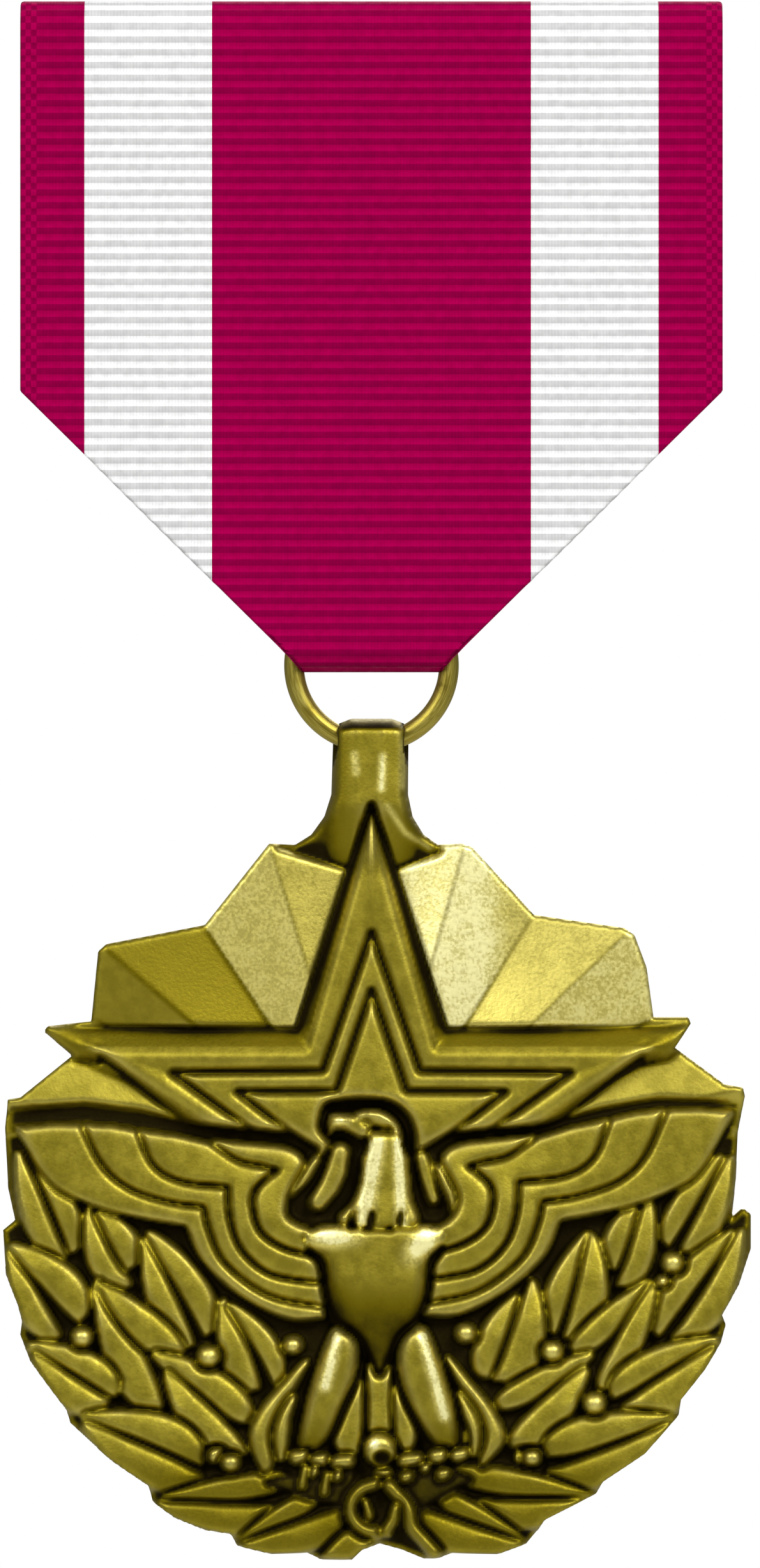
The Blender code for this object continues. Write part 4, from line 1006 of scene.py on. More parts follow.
def darkening_and_wear():
    """How dark each relief point is, from oxide in its hollows and from painted shade, and how far it stands
    out to be worn.
    """
    inside = (body > -0.05).astype(float)
    fine = blur(relief, 0.28, inside)
    wide = blur(relief, 0.9, inside)
    deep = 0.7 * smooth((1.75 - relief) / 0.5) * near(painted_highlight, 0.05)
    darkening = np.maximum(deep, smooth((fine - relief - 0.05) / 0.3))
    # Adds wide hollows, the laid dirt and painted shade, and painted shade towards the bottom of the medal.
    darkening = darkening + 0.35 * smooth((wide - relief) / 0.5) + grime_and_shade + 0.4 * smooth((-11.0 - Z) / 4.0)
    from_rim = smooth(body / 0.5)
    darkening = 1.08 * blur(np.clip(darkening, 0.0, 1.2), 0.055) * (0.35 + 0.65 * from_rim)
    wear = 0.32 * smooth((relief - fine - 0.03) / 0.2) * from_rim
    return np.clip(darkening, 0, 1), wear


def sample(field, x, z):
    """Values of a relief field at places in the pendant's plane."""
    col, row = (x - XS[0]) / CELL, (z - ZS[0]) / CELL
    c = np.clip(col.astype(int), 0, len(XS) - 2)
    r = np.clip(row.astype(int), 0, len(ZS) - 2)
    fc, fr = np.clip(col - c, 0, 1), np.clip(row - r, 0, 1)
    top = field[r + 1, c] * (1 - fc) + field[r + 1, c + 1] * fc
    bottom = field[r, c] * (1 - fc) + field[r, c + 1] * fc
    return bottom * (1 - fr) + top * fr


def back_patina_and_highlight(inset, from_bead):
    """Darkening, wear and painted highlight on the back: dirt beside its edge and bead, worn tops, faint
    painted highlight.
    """
    darkening = 0.1 + 0.4 * np.exp(-(((inset - 1.0) / 0.3) ** 2))
    darkening = darkening + 0.35 * np.exp(-(((np.abs(from_bead) - 0.5) / 0.2) ** 2))
    wear = 0.5 * near(inset - 0.3, 0.4) + 0.5 * np.exp(-((from_bead / 0.25) ** 2))
    return np.stack([darkening, wear, np.full(len(inset), 0.1)], axis=1)


def paint_patina_and_light(obj):
    """Give every vertex its darkening from oxide and painted shade, its wear and its painted highlight."""
    co = np.zeros(len(obj.data.vertices) * 3)
    obj.data.vertices.foreach_get("co", co)
    x, y, z = co.reshape(-1, 3).T / MM
    up = z - CENTRE_Z
    values = np.stack([sample(field, x, up) for field in (*darkening_and_wear(), painted_highlight)], axis=1)
    behind = BACK_Y - y < sample(relief, x, up) - 0.35
    from_bead = np.hypot(x, up - BEAD_CENTRE) - BEAD_RADIUS
    values[behind] = back_patina_and_highlight(sample(body, x, up), from_bead)[behind]
    from_axis = np.hypot(y - LUG_AXIS[1], z - LUG_AXIS[2])
    values[from_axis < bore_radius(x) + 0.1] = BORE_PATINA
    add_point_values(obj, "patina_and_painted_light", values)


# ---------------------------------------------------------------- materials


class Nodes:
    """Node tree whose nodes are added one short call at a time."""

    def __init__(self, tree):
        self.tree = tree

    def put(self, socket, value):
        if isinstance(value, bpy.types.NodeSocket):
            self.tree.links.new(value, socket)
        elif isinstance(value, (tuple, list)) and len(value) == 3 and socket.type == "RGBA":
            socket.default_value = (*value, 1.0)
        else:
            socket.default_value = value

    def add(self, kind, inputs, output=0, **settings):
        """One output of a new node with these inputs and settings."""
        node = self.tree.nodes.new("ShaderNode" + kind)
        for name, value in settings.items():
            setattr(node, name, value)
        for key, value in inputs.items():
            self.put(node.inputs[key], value)
        return node.outputs[output] if node.outputs else None

    def maths(self, operation, a, b=0.5):
        return self.add("Math", {0: a, 1: b}, operation=operation)

    def times(self, a, b):
        return self.maths("MULTIPLY", a, b)

    def plus(self, a, b):
        return self.maths("ADD", a, b)

    def minus(self, a, b):
        return self.maths("SUBTRACT", a, b)

    def mix(self, share, a, b):
        """Colour a, turning into colour b as share goes from 0 to 1."""
        return self.add("Mix", {"Factor": share, 6: a, 7: b}, 2, data_type="RGBA", clamp_factor=True)

    def ramp(self, value, low, high, start=0.0, end=1.0, kind="SMOOTHSTEP"):
        """Value between low and high, mapped to start and end."""
        limits = {"From Min": low, "From Max": high, "To Min": start, "To Max": end}
        return self.add("MapRange", {"Value": value, **limits}, "Result", interpolation_type=kind)

    def split(self, vector):
        node = self.tree.nodes.new("ShaderNodeSeparateXYZ")
        self.put(node.inputs[0], vector)
        return node.outputs


class Shade(Nodes):
    """Material with one principled shader."""

    def __init__(self, name):
        self.material = bpy.data.materials.new(name)
        self.material.use_nodes = True
        super().__init__(self.material.node_tree)
        self.shader = self.tree.nodes["Principled BSDF"]

    def set(self, **inputs):
        for name, value in inputs.items():
            self.put(self.shader.inputs[name.replace("_", " ")], value)

    def position(self):
        """Place on the piece in millimetres."""
        place = self.add("TexCoord", {}, "Object")
        return self.add("VectorMath", {0: place, "Scale": 1 / MM}, operation="SCALE")

    def noise(self, place, size, detail=3.0):
        """Noise whose spots are about size millimetres across."""
        inputs = {"Vector": place, "Scale": 1 / size, "Detail": detail, "Roughness": 0.55}
        return self.add("TexNoise", inputs, "Fac")

    def attribute(self, name):
        """The three values that a mesh holds under this name."""
        return self.split(self.add("Attribute", {}, "Vector", attribute_name=name))

    def bump(self, height, distance, strength):
        """Bump whose full height is distance millimetres."""
        return self.add("Bump", {"Distance": distance * MM, "Strength": strength, "Height": height})


OLIVE_DARK = (0.29, 0.237, 0.02)
OLIVE_LIGHT = (0.39, 0.32, 0.032)
WORN_EDGE = (0.9, 0.77, 0.25)
# Colours of the painted highlights.
HIGHLIGHT_GOLD = (0.84, 0.73, 0.19)
PALE_GOLD = (1.0, 0.94, 0.44)
BROWN = (0.2, 0.156, 0.005)
BROWN_BLACK = (0.016, 0.011, 0.001)


def bronze_material():
    """Oxidised bronze: near black in the hollows and painted shade, olive on the flats, worn pale gold on the
    high edges, painted gold highlights.
    """
    s = Shade("aged_bronze")
    place = s.position()
    darkening, wear, highlight_share = s.attribute("patina_and_painted_light")
    mottle = s.noise(place, 0.9, 4.0)
    grain = s.noise(place, 0.16, 2.0)
    olive = s.mix(s.ramp(mottle, 0.35, 0.65), OLIVE_DARK, OLIVE_LIGHT)
    edged = s.mix(s.times(wear, 0.7), olive, WORN_EDGE)
    # Painted highlights: gold, turning pale gold where strongest.
    patchy = s.times(highlight_share, s.ramp(s.plus(mottle, grain), 0.75, 1.2, 0.75, 1.0))
    gold = s.mix(s.ramp(patchy, 0.0, 0.65), edged, HIGHLIGHT_GOLD)
    pale = s.mix(s.ramp(patchy, 0.5, 0.95), gold, PALE_GOLD)
    # Darkening from oxide and painted shade turns the colour brown, then near black.
    depth = s.plus(darkening, s.times(s.minus(mottle, 0.5), 0.25))
    dark = s.ramp(depth, 0.45, 1.0)
    brown = s.mix(s.ramp(depth, 0.05, 0.6), pale, BROWN)
    roughness = s.plus(s.times(dark, 0.2), s.ramp(grain, 0.3, 0.7, 0.46, 0.56))
    # Painted highlights lower the metallic so that they read brighter.
    bright = s.times(s.ramp(patchy, 0.5, 1.0), s.minus(1.0, dark))
    s.set(Base_Color=s.mix(dark, brown, BROWN_BLACK))
    s.set(Metallic=s.minus(s.ramp(dark, 0.2, 1.0, 1.0, 0.85), s.times(bright, 0.55)))
    s.set(Roughness=s.minus(roughness, s.times(highlight_share, 0.12)))
    s.set(Specular_IOR_Level=0.2, Normal=s.bump(s.plus(grain, mottle), 0.02, 0.6))
    return s.material


def wire_material():
    """Drawn wire of the same bronze, with fine streaks along it."""
    s = Shade("bronze_wire")
    along, around, _ = s.attribute("wire")
    mottle = s.noise(s.position(), 1.1, 4.0)
    drawn = s.add("CombineXYZ", {0: s.times(along, 3.0), 1: s.times(around, 42.0)})
    streaks = s.add("TexNoise", {"Vector": drawn, "Scale": 1.0}, "Fac", noise_dimensions="2D")
    base = s.mix(s.ramp(streaks, 0.35, 0.7), (0.3, 0.235, 0.03), (0.5, 0.42, 0.09))
    colour = s.mix(s.ramp(mottle, 0.55, 0.8), base, (0.12, 0.085, 0.01))
    s.set(Base_Color=colour, Metallic=1.0, Roughness=s.ramp(streaks, 0.3, 0.7, 0.38, 0.5))
    s.set(Normal=s.bump(streaks, 0.012, 0.5))
    return s.material


def sheet_material(name, colour, tarnish, roughness):
    """Worked metal with rolling lines, tarnish clouds and fine scratches."""
    s = Shade(name)
    place = s.position()
    x, y, z = s.split(place)
    cloud = s.noise(place, 3.0, 5.0)
    fine = s.noise(place, 0.25, 2.0)
    rolled = s.noise(s.add("CombineXYZ", {0: s.times(x, 0.25), 1: y, 2: s.times(z, 9.0)}), 1.0)
    mixed = s.mix(s.ramp(cloud, 0.42, 0.68), colour, tarnish)
    darker = tuple(c * 0.6 for c in colour)
    s.set(Base_Color=s.mix(s.times(s.ramp(rolled, 0.4, 0.7), 0.25), mixed, darker), Metallic=1.0)
    clouded = s.ramp(cloud, 0.3, 0.7, roughness, roughness + 0.18)
    s.set(Roughness=s.plus(clouded, s.ramp(fine, 0.4, 0.8, 0.0, 0.08)))
    s.set(Normal=s.bump(s.plus(rolled, fine), 0.012, 0.5))
    return s.material


# Ruby and white in two tones: the darker one is the selvedge checks' second colour and the painted shade in
# the cord valleys.
RUBY_LIGHT = (0.381, 0.0, 0.0704)
RUBY_DARK = (0.246, 0.0, 0.0482)
WHITE_LIGHT = (0.93, 0.93, 0.93)
WHITE_DARK = (0.63, 0.63, 0.63)
BLACK = (0.0, 0.0, 0.0)
# Distance between two ribs, width of a check, and the white stripes' inner and outer edge from the middle.
RIB = 0.634
CHECK = 0.27
STRIPE_FROM = 7.93
STRIPE_TO = 14.27


def ribbon_material(half_width):
    """Ribbed silk: stripes along the ribbon, cords across it with painted shade in their valleys, and a
    checked selvedge.
    """
    s = Shade("ribbed_ribbon")
    place = s.position()
    across, along, _ = s.attribute("weave")
    side = s.maths("ABSOLUTE", across)
    cord = s.maths("FRACT", s.maths("DIVIDE", along, RIB))
    # Painted shade in the valley between two cords.
    valley_shade = s.ramp(s.maths("ABSOLUTE", s.minus(cord, 0.5)), 0.225, 0.275)
    column = s.maths("FLOOR", s.maths("DIVIDE", s.minus(half_width, side), CHECK))
    row = s.maths("FLOOR", s.plus(s.maths("DIVIDE", along, RIB / 2), 0.5))
    checks = s.maths("MODULO", s.maths("ABSOLUTE", s.plus(column, row)), 2.0)
    selvedge = s.maths("LESS_THAN", column, 2.5)
    # The darker tone: checks on the selvedge, painted shade in the cord valleys elsewhere.
    dark = s.plus(s.times(checks, selvedge), s.times(valley_shade, s.minus(1.0, selvedge)))
    striped = s.times(s.maths("GREATER_THAN", side, STRIPE_FROM), s.maths("LESS_THAN", side, STRIPE_TO))
    ruby = s.mix(dark, RUBY_LIGHT, RUBY_DARK)
    white = s.mix(dark, WHITE_LIGHT, WHITE_DARK)
    colour = s.mix(striped, ruby, white)
    warp = s.maths("ABSOLUTE", s.maths("SINE", s.times(across, math.pi / 0.16)))
    uneven = s.noise(place, 0.5)
    toned = s.mix(s.times(s.ramp(uneven, 0.3, 0.7), 0.12), colour, BLACK)
    threads = s.mix(s.times(s.ramp(warp, 0.55, 0.0), 0.12), toned, BLACK)
    s.set(Base_Color=threads, Roughness=s.ramp(uneven, 0.3, 0.7, 0.62, 0.8))
    s.set(Sheen_Weight=0.04, Sheen_Roughness=0.4, Sheen_Tint=colour)
    s.set(Specular_IOR_Level=0.1, Specular_Tint=colour)
    s.set(Normal=s.bump(s.plus(s.times(warp, 0.5), uneven), 0.02, 0.6))
    return s.material


def thread_material():
    """Twisted cotton thread."""
    s = Shade("sewing_thread")
    place = s.position()
    x, y, z = s.split(place)
    turns = s.maths("SINE", s.times(s.plus(x, s.plus(y, z)), 30.0))
    fuzz = s.noise(place, 0.12)
    colour = s.mix(s.ramp(s.plus(turns, fuzz), -0.4, 1.4), (0.13, 0.0, 0.025), (0.33, 0.01, 0.08))
    s.set(Base_Color=colour, Roughness=s.ramp(fuzz, 0.3, 0.7, 0.7, 0.9))
    s.set(Sheen_Weight=0.2, Sheen_Roughness=0.5, Specular_IOR_Level=0.15, Normal=s.bump(turns, 0.03, 0.8))
    return s.material


# ---------------------------------------------------------------- ribbon

(RIBBON_LEFT, RIBBON_FRONT, RIBBON_TIP), (RIBBON_RIGHT, _, RIBBON_TOP) = box_mm("ribbon")
RAIL = joint_mm("ribbon_swing")[1:]
(RING_LEFT, RING_FRONT, RING_BOTTOM), (RING_RIGHT, RING_BACK, RING_TOP) = box_mm("suspension_ring")
RING_Y = (RING_FRONT + RING_BACK) / 2
RING_Z = (RING_BOTTOM + RING_TOP) / 2
FULL_HALF_WIDTH = (RIBBON_RIGHT - RIBBON_LEFT) / 2
# Narrower behind, where the ribbon passes between the brooch's ears.
EYE_HALF_WIDTH = 16.6
TIP_HALF_WIDTH = 3.3
# Length of the ribbon's upright sides.
STRAIGHT = 19.3
SHOULDER = (FULL_HALF_WIDTH, RIBBON_TOP - STRAIGHT)
# Thickness over the ribs.
CLOTH = 0.42
LAYER_GAP = 0.05
# Height at which the ribbon's two ends meet behind, and half the hairline between them.
SEAM_Z = -2.2
SEAM_HALF_GAP = 0.04
# The fold round the ring: half its inside depth, its height over the ring's middle and where it closes.
POCKET_HALF = 1.08
POCKET_TOP = 5.0
POCKET_FADE = 4.0
# How far the ribbon's top is pressed up round the rail.
PRESSED = 0.15
RIB_STEPS = 6
RIB_HEIGHT = 0.07
RIB_PHASE = 0.11


def resample(points, step):
    """Evenly spaced points along a line, with the distance of each from the start."""
    points = np.array(points)
    lengths = np.concatenate([[0], np.cumsum(np.hypot(*np.diff(points, axis=0).T))])
    places = np.arange(0, lengths[-1], step)
    return np.interp(places, lengths, points[:, 0]), np.interp(places, lengths, points[:, 1]), places


def ribbon_path():
    """Centre line as (depth, height): up behind the front, over the rail, down, round the ring and up."""
    front = RIBBON_FRONT + CLOTH / 2
    second = front + CLOTH + LAYER_GAP
    eye = RIBBON_TOP - RAIL[1] - CLOTH / 2
    fold = POCKET_HALF + CLOTH / 2
    fold_z = RIBBON_TIP + fold + CLOTH / 2
    pocket_z = RING_Z + POCKET_TOP
    meet_z = pocket_z + POCKET_FADE
    start = -math.degrees(math.acos((second - RAIL[0]) / eye))
    path = [(second, SEAM_Z + SEAM_HALF_GAP), (second, RAIL[1] - eye)]
    path += [(y, z + PRESSED * smooth((z - RAIL[1]) / eye)) for y, z in arc(RAIL, eye, start, 180, 40)]
    path += [(front, fold_z)]
    path += arc((RING_Y, fold_z), fold, 180, 360, 30)[1:]
    back = RING_Y + fold
    path += spline(((back, pocket_z - 1.0), (back, pocket_z), (second, meet_z), (second, meet_z + 1.0)), 10)
    path += [(second, SEAM_Z - SEAM_HALF_GAP)]
    return path


def half_width_at(y, z):
    """Half width of the ribbon where its path passes this depth and height."""
    share = np.clip((SHOULDER[1] - z) / (SHOULDER[1] - RIBBON_TIP), 0.0, 1.0)
    width = FULL_HALF_WIDTH + (TIP_HALF_WIDTH - FULL_HALF_WIDTH) * share
    behind = (y > RAIL[0] + 0.2) | ((y > RAIL[0] - 0.6) & (z < RAIL[1]))
    beside_ears = behind & (z > RAIL[1] - 6.0)
    return np.where(beside_ears, np.minimum(width, EYE_HALF_WIDTH), width)


def edge_columns():
    """Places across the ribbon: share of the half width, inset from the edge and share of the thickness."""
    inner = [(share, 0.0, 1.0) for share in np.linspace(-0.97, 0.97, 33)]
    rounding = [(0.0, 0.25), (0.02, 0.6), (0.07, 0.86), (0.16, 1.0)]
    left = [(-1.0, inset, thin) for inset, thin in rounding]
    right = [(1.0, inset, thin) for inset, thin in reversed(rounding)]
    return left + inner + right


def build_ribbon():
    """Ribbed strip with rounded edges along the whole path."""
    y, z, along = resample(ribbon_path(), RIB / RIB_STEPS)
    along = along - RIB_PHASE
    dy, dz = np.gradient(y), np.gradient(z)
    size = np.hypot(dy, dz)
    half = half_width_at(y, z)
    rib = RIB_HEIGHT * np.sqrt(0.5 + 0.5 * np.cos(2 * math.pi * along / RIB))
    columns = edge_columns()
    points, weave = [], []
    for side in (1, -1):
        for i in range(len(y)):
            for share, inset, thin in columns:
                x = share * (half[i] - inset)
                out = side * (CLOTH / 2 - RIB_HEIGHT + rib[i]) * thin
                points.append((x, y[i] - dz[i] / size[i] * out, z[i] + dy[i] / size[i] * out))
                weave.append((x, along[i], side))
    strip = mesh_object("ribbon_strip", points, sheet_faces(len(y) - 1, len(columns) - 1))
    add_point_values(strip, "weave", np.array(weave))
    return strip


def back_layer():
    """Heights, rising, and depths of the ribbon's layer behind."""
    y, z, _ = resample(ribbon_path(), RIB / RIB_STEPS)
    turn = int(np.argmin(z))
    return z[turn:], y[turn:]


FLAP_ROWS = 90
FLAP_COLUMNS = 60
# Height of the flap's lower end over the ribbon's tip.
FLAP_END = 2.6
FLAP_CLOTH = 0.3
# How much thinner the flap is along its edge and one point in from it.
FLAP_EDGE = (0.14, 0.04)


def build_flap(side, behind):
    """Corner of the ribbon folded behind along its slanting edge, so its ribs run upright."""
    x_fold, z_fold = SHOULDER
    edge = Vector((TIP_HALF_WIDTH - x_fold, RIBBON_TIP - z_fold)).normalized()
    points, weave = [], []
    for level in (0.0, FLAP_CLOTH):
        for i in range(FLAP_ROWS + 1):
            z = z_fold - 0.12 + (RIBBON_TIP + FLAP_END - z_fold) * i / FLAP_ROWS
            share = (z - RIBBON_TIP) / (z_fold - RIBBON_TIP)
            outer = TIP_HALF_WIDTH + (x_fold - TIP_HALF_WIDTH) * share - 0.1
            inner = TIP_HALF_WIDTH + 0.15
            y = float(np.interp(z, *behind)) + CLOTH / 2 + level
            for k in range(FLAP_COLUMNS + 1):
                x = inner + (outer - inner) * k / FLAP_COLUMNS
                from_fold = Vector((x - x_fold, z - z_fold))
                flat = 2 * from_fold.dot(edge) * edge - from_fold
                lift = 0.0
                if level > 0:
                    border = min(i, FLAP_ROWS - i, k, FLAP_COLUMNS - k)
                    lift = 0.05 * (0.5 + 0.5 * math.cos(2 * math.pi * flat.y / RIB))
                    lift -= FLAP_EDGE[border] if border < len(FLAP_EDGE) else 0.0
                points.append((side * x, y + lift, z))
                weave.append((side * (x_fold + flat.x), flat.y, 0.0))
    name = "ribbon_flap_left" if side < 0 else "ribbon_flap_right"
    flap = mesh_object(name, points, sheet_faces(FLAP_ROWS, FLAP_COLUMNS))
    add_point_values(flap, "weave", np.array(weave))
    return flap


SEAM_STITCHES = 13
SEAM_STEP = 2.35
CORNER_STITCHES = 4
CORNER_STEP = 1.9
THREAD = 0.11


def stitch_ends():
    """Both ends of every stitch as (across, height), and how high it lies over the ribbon behind."""
    ends = []
    z = SEAM_Z - 1.1
    for i in range(SEAM_STITCHES):
        x = (i - SEAM_STITCHES // 2) * SEAM_STEP
        ends.append(((x - 0.62, z), (x + 0.62, z), 0.02))
    for side in (-1, 1):
        x = side * (TIP_HALF_WIDTH + 0.8)
        for i in range(CORNER_STITCHES):
            z = SHOULDER[1] - 0.9 - CORNER_STEP * i
            ends.append(((x, z), (x, z - 1.0), 0.33))
    return ends


def build_stitches(behind):
    """Thread stitches across the seam and down the folded corners."""
    rings, sides = 9, 8
    points, faces = [], []
    for (ax, az), (bx, bz), lift in stitch_ends():
        faces += tube_faces(rings, sides, len(points))
        sideways = Vector((bz - az, ax - bx)).normalized()
        for i in range(rings):
            t = i / (rings - 1)
            x, z = ax + (bx - ax) * t, az + (bz - az) * t
            dive = (2 * t - 1) ** 4
            radius = THREAD * (1.0 - 0.35 * dive)
            y = float(np.interp(z, *behind)) + CLOTH / 2 + lift + 0.06 - 0.16 * dive
            for k in range(sides):
                a = turned(k, sides)
                out = sideways * radius * math.cos(a)
                points.append((x + out.x, y + radius * math.sin(a), z + out.y))
    return mesh_object("seam_stitches", points, faces)


# ---------------------------------------------------------------- brooch

BROOCH_HALF = box_mm("brooch_plate")[1][0]
HINGE_X, _, PIN_Z = joint_mm("pin_swing")
CATCH_X = joint_mm("catch_turn")[0]
# Depths of the front and the back of the sheet and of what is raised from its back.
SHEET = (-1.0, -0.5)
HEM = (-0.6, 0.0)
PRESSED_BEAD = (-0.7, -0.36)
PRESSED_PAD = (-0.7, -0.38)
EAR_THICKNESS = 0.5
BEAD_HEIGHTS = (1.75, 7.35)
# Half widths of the pads under the bracket and the catch.
PAD_HALF_WIDTHS = {HINGE_X: 1.75, CATCH_X: 1.65}


def slab(mesh, outline, low, high, axis, bevel=0.1):
    """Add a flat piece with rounded edges to a bmesh: an outline drawn out along an axis."""
    order = {"x": (1, 2, 0), "y": (0, 2, 1), "z": (0, 1, 2)}[axis]

    def corner(point, level):
        at = [0.0, 0.0, 0.0]
        at[order[0]], at[order[1]], at[order[2]] = point[0] * MM, point[1] * MM, level * MM
        return mesh.verts.new(at)

    first = [corner(point, low) for point in outline]
    last = [corner(point, high) for point in outline]
    faces = [mesh.faces.new(first), mesh.faces.new(last[::-1])]
    for i in range(len(outline)):
        j = (i + 1) % len(outline)
        faces.append(mesh.faces.new((first[j], first[i], last[i], last[j])))
    bmesh.ops.recalc_face_normals(mesh, faces=faces)
    edges = dict.fromkeys(edge for face in faces for edge in face.edges if edge.calc_face_angle(0.0) > 0.5)
    bmesh.ops.bevel(mesh, geom=list(edges), offset=bevel * MM, segments=3, profile=0.5, affect="EDGES")


def box_outline(across, up, half_across, half_up):
    """Rectangle round a middle point."""
    left, right = across - half_across, across + half_across
    return ((left, up - half_up), (right, up - half_up), (right, up + half_up), (left, up + half_up))


def sheet_outline():
    """Sheet with cut corners, larger below than above, as (across, height)."""
    lower = [(-BROOCH_HALF, 0.2), (-BROOCH_HALF + 0.3, -0.5), (-BROOCH_HALF + 1.0, -0.8)]
    upper = [(BROOCH_HALF, 8.3), (BROOCH_HALF - 0.2, 8.5)]
    return [*lower, *reversed(mirrored(lower)), *upper, *reversed(mirrored(upper))]


def ear_outline():
    """Ear that rises from the sheet and wraps the rail's end, as (depth, height)."""
    y, z = RAIL
    return (
        (-0.5, 7.0), (-0.5, z - 0.4), (-0.75, z - 0.3), (y + 0.62, z - 0.1), (y + 0.55, z + 0.55),
        (y + 0.3, z + 0.75), (y - 0.25, z + 0.75), (y - 0.4, z + 0.6), (y - 0.4, z - 0.8), (y, 8.4),
        (-1.0, 7.0),
    )


def build_brooch():
    """Stamped sheet with stiffening beads, a folded hem, two ears and the rail that carries the ribbon."""
    mesh = bmesh.new()
    slab(mesh, sheet_outline(), *SHEET, "y", 0.12)
    slab(mesh, box_outline(0.0, 0.0, 15.5, 0.8), *HEM, "y", 0.28)
    slab(mesh, box_outline(*RAIL, 0.4, 0.75), 0.1 - BROOCH_HALF, BROOCH_HALF - 0.1, "x", 0.2)
    for side in (-1, 1):
        outside, inside = side * BROOCH_HALF, side * (BROOCH_HALF - EAR_THICKNESS)
        slab(mesh, ear_outline(), *sorted((outside, inside)), "x", 0.1)
    for z in BEAD_HEIGHTS:
        slab(mesh, box_outline(0.0, z, 15.9, 0.28), *PRESSED_BEAD, "y", 0.14)
    for x, half_width in PAD_HALF_WIDTHS.items():
        slab(mesh, box_outline(x, PIN_Z, half_width, 1.75), *PRESSED_PAD, "y", 0.13)
    data = bpy.data.meshes.new("stamped_brooch")
    mesh.to_mesh(data)
    mesh.free()
    data.shade_smooth()
    data.set_sharp_from_angle(angle=math.radians(50))
    return add_object("stamped_brooch", data)


def round_edges(node, width):
    """Small rounded edges on a CAD node that keeps its own shape."""
    bevel = node.modifiers.new("rounded edges", "BEVEL")
    bevel.width = width * MM
    bevel.segments = 2
    bevel.limit_method = "ANGLE"
    bevel.angle_limit = math.radians(40)
    bevel.harden_normals = True


# ---------------------------------------------------------------- ring

WIRE = (RING_BACK - RING_FRONT) / 2
RING_RADIUS = (RING_RIGHT - RING_LEFT) / 2 - WIRE
HALF_GAP = math.radians(0.7)
# Share of the wire's thickness at its cut ends.
WIRE_END = (0.8, 0.93, 0.98)


def build_ring():
    """Round wire bent to a ring, its two ends meeting at a hairline inside the ribbon's fold."""
    steps, sides = 200, 28
    points, streaks = [], []
    for i in range(steps + 1):
        a = math.pi / 2 + HALF_GAP + (2 * math.pi - 2 * HALF_GAP) * i / steps
        end = min(i, steps - i)
        radius = WIRE * (WIRE_END[end] if end < len(WIRE_END) else 1.0)
        for k in range(sides):
            b = turned(k, sides)
            out = RING_RADIUS + radius * math.cos(b)
            points.append((out * math.cos(a), RING_Y + radius * math.sin(b), RING_Z + out * math.sin(a)))
            streaks.append((a, math.sin(b), math.cos(b)))
    ring = mesh_object("wire_ring", points, tube_faces(steps + 1, sides))
    add_point_values(ring, "wire", np.array(streaks))
    return ring


# ---------------------------------------------------------------- stage, light and camera

FLOOR_HALF = 6000.0
FLOOR_DROP = 350.0
# Area lamps: place and size in metres, and power in watts.
LAMPS = {
    "key": ((0.35, -0.6, 0.42), 0.25, 4.2),
    "second key": ((-0.42, -0.6, 0.38), 0.25, 2.8),
    "back": ((0.2, 0.8, 0.5), 0.6, 4.0),
}
# The frame's height is this many times the medal's.
FRAME_HEIGHT = 1.0055
# In metres: from the camera to the medal, and from the medal's middle to the camera's axis.
CAMERA_DISTANCE = 0.8
CAMERA_SHIFT = (0.00015, -0.0001)


def build_stage(low):
    z = low.z / MM - FLOOR_DROP
    corners = ((-1, -1), (1, -1), (1, 1), (-1, 1))
    floor = mesh_object("floor", [(x * FLOOR_HALF, y * FLOOR_HALF, z) for x, y in corners], [(0, 1, 2, 3)])
    s = Shade("pale_floor")
    seen = s.add("LightPath", {}, "Is Camera Ray")
    s.set(Base_Color=(0.85, 0.85, 0.84), Roughness=0.9)
    s.set(Emission_Color=(1.0, 1.0, 1.0), Emission_Strength=s.times(seen, 0.45))
    floor.data.materials.append(s.material)


def build_world():
    """White to the camera; to the metal a soft room, brighter above than below."""
    world = bpy.data.worlds.new("studio")
    bpy.context.scene.world = world
    world.use_nodes = True
    world.node_tree.nodes.clear()
    nodes = Nodes(world.node_tree)
    up = nodes.split(nodes.add("TexCoord", {}, "Generated"))[2]
    room = nodes.add("Background", {"Strength": nodes.ramp(up, -0.7, 0.8, 0.03, 0.5, "LINEAR")})
    white = nodes.add("Background", {"Color": (1.0, 1.0, 1.0), "Strength": 1.0})
    seen = nodes.add("LightPath", {}, "Is Camera Ray")
    nodes.add("OutputWorld", {0: nodes.add("MixShader", {0: seen, 1: room, 2: white})})


def build_lights(centre):
    for name, (place, size, power) in LAMPS.items():
        data = bpy.data.lights.new(name, "AREA")
        data.size = size
        data.energy = power
        lamp = add_object(name, data)
        lamp.location = place
        lamp.rotation_mode = "QUATERNION"
        lamp.rotation_quaternion = (centre - Vector(place)).to_track_quat("-Z", "Y")


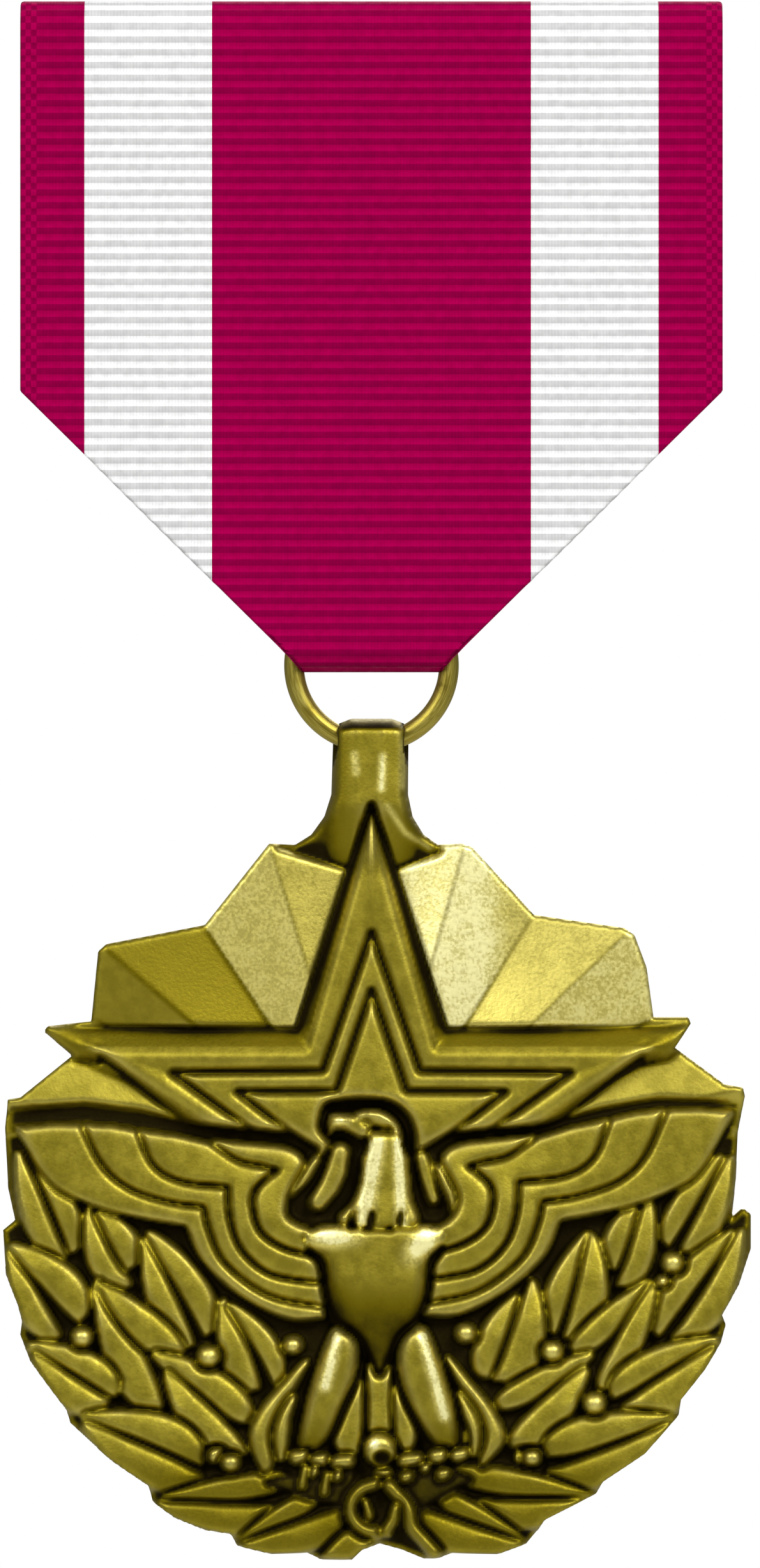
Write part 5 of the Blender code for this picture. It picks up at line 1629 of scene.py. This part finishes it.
def build_camera(low, high):
    """Straight on from the front with a long lens; the medal's height fills the frame."""
    data = bpy.data.cameras.new("camera")
    data.sensor_width = 36.0
    data.lens = data.sensor_width * CAMERA_DISTANCE / ((high.z - low.z) * FRAME_HEIGHT)
    data.clip_start = 0.01
    data.clip_end = 20.0
    camera = add_object("camera", data)
    middle = (low + high) / 2
    camera.location = (middle.x + CAMERA_SHIFT[0], low.y - CAMERA_DISTANCE, middle.z + CAMERA_SHIFT[1])
    camera.rotation_euler = (math.pi / 2, 0.0, 0.0)
    bpy.context.scene.camera = camera


# ---------------------------------------------------------------- assembly


def place(obj, body_name, slot_name, material, *nodes):
    """Put a piece on its body, in its material slot and, where it has them, in place of CAD nodes; slot_name
    is not used.
    """
    obj.data.materials.clear()
    obj.data.materials.append(material)
    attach(obj, body_name)
    if nodes:
        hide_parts(*nodes)


def dress(node, material):
    """Give a CAD node that keeps its own shape another material."""
    frame["nodes"][node].data.materials.clear()
    frame["nodes"][node].data.materials.append(material)


def main():
    bronze = bronze_material()
    draw_pendant()
    pendant = build_pendant()
    cut_lug_bore(pendant)
    paint_patina_and_light(pendant)
    place(pendant, "pendant", "aged_bronze", bronze, "pendant")
    cloth = ribbon_material(FULL_HALF_WIDTH)
    place(build_ribbon(), "ribbon", "ribbon_cloth", cloth, "ribbon")
    behind = back_layer()
    for side in (-1, 1):
        place(build_flap(side, behind), "ribbon", "ribbon_cloth", cloth)
    place(build_stitches(behind), "ribbon", "ribbon_cloth", thread_material())
    place(build_ring(), "ring", "aged_bronze", wire_material(), "suspension_ring")
    brass = sheet_material("stamped_brass", (0.56, 0.42, 0.13), (0.34, 0.22, 0.05), 0.3)
    steel = sheet_material("drawn_steel", (0.6, 0.6, 0.61), (0.42, 0.41, 0.4), 0.22)
    place(build_brooch(), "brooch", "brooch_brass", brass, "brooch_plate")
    for node, width in (("pin_hinge_bracket", 0.09), ("catch_housing", 0.07), ("catch_rotor", 0.07)):
        dress(node, brass)
        round_edges(frame["nodes"][node], width)
    for node in ("pin_hinge_rivet", "pin_stem"):
        dress(node, steel)
    low, high = cad_box
    build_stage(low)
    build_world()
    build_lights((low + high) / 2)
    build_camera(low, high)
    bpy.context.scene.view_settings.view_transform = "Standard"


main()
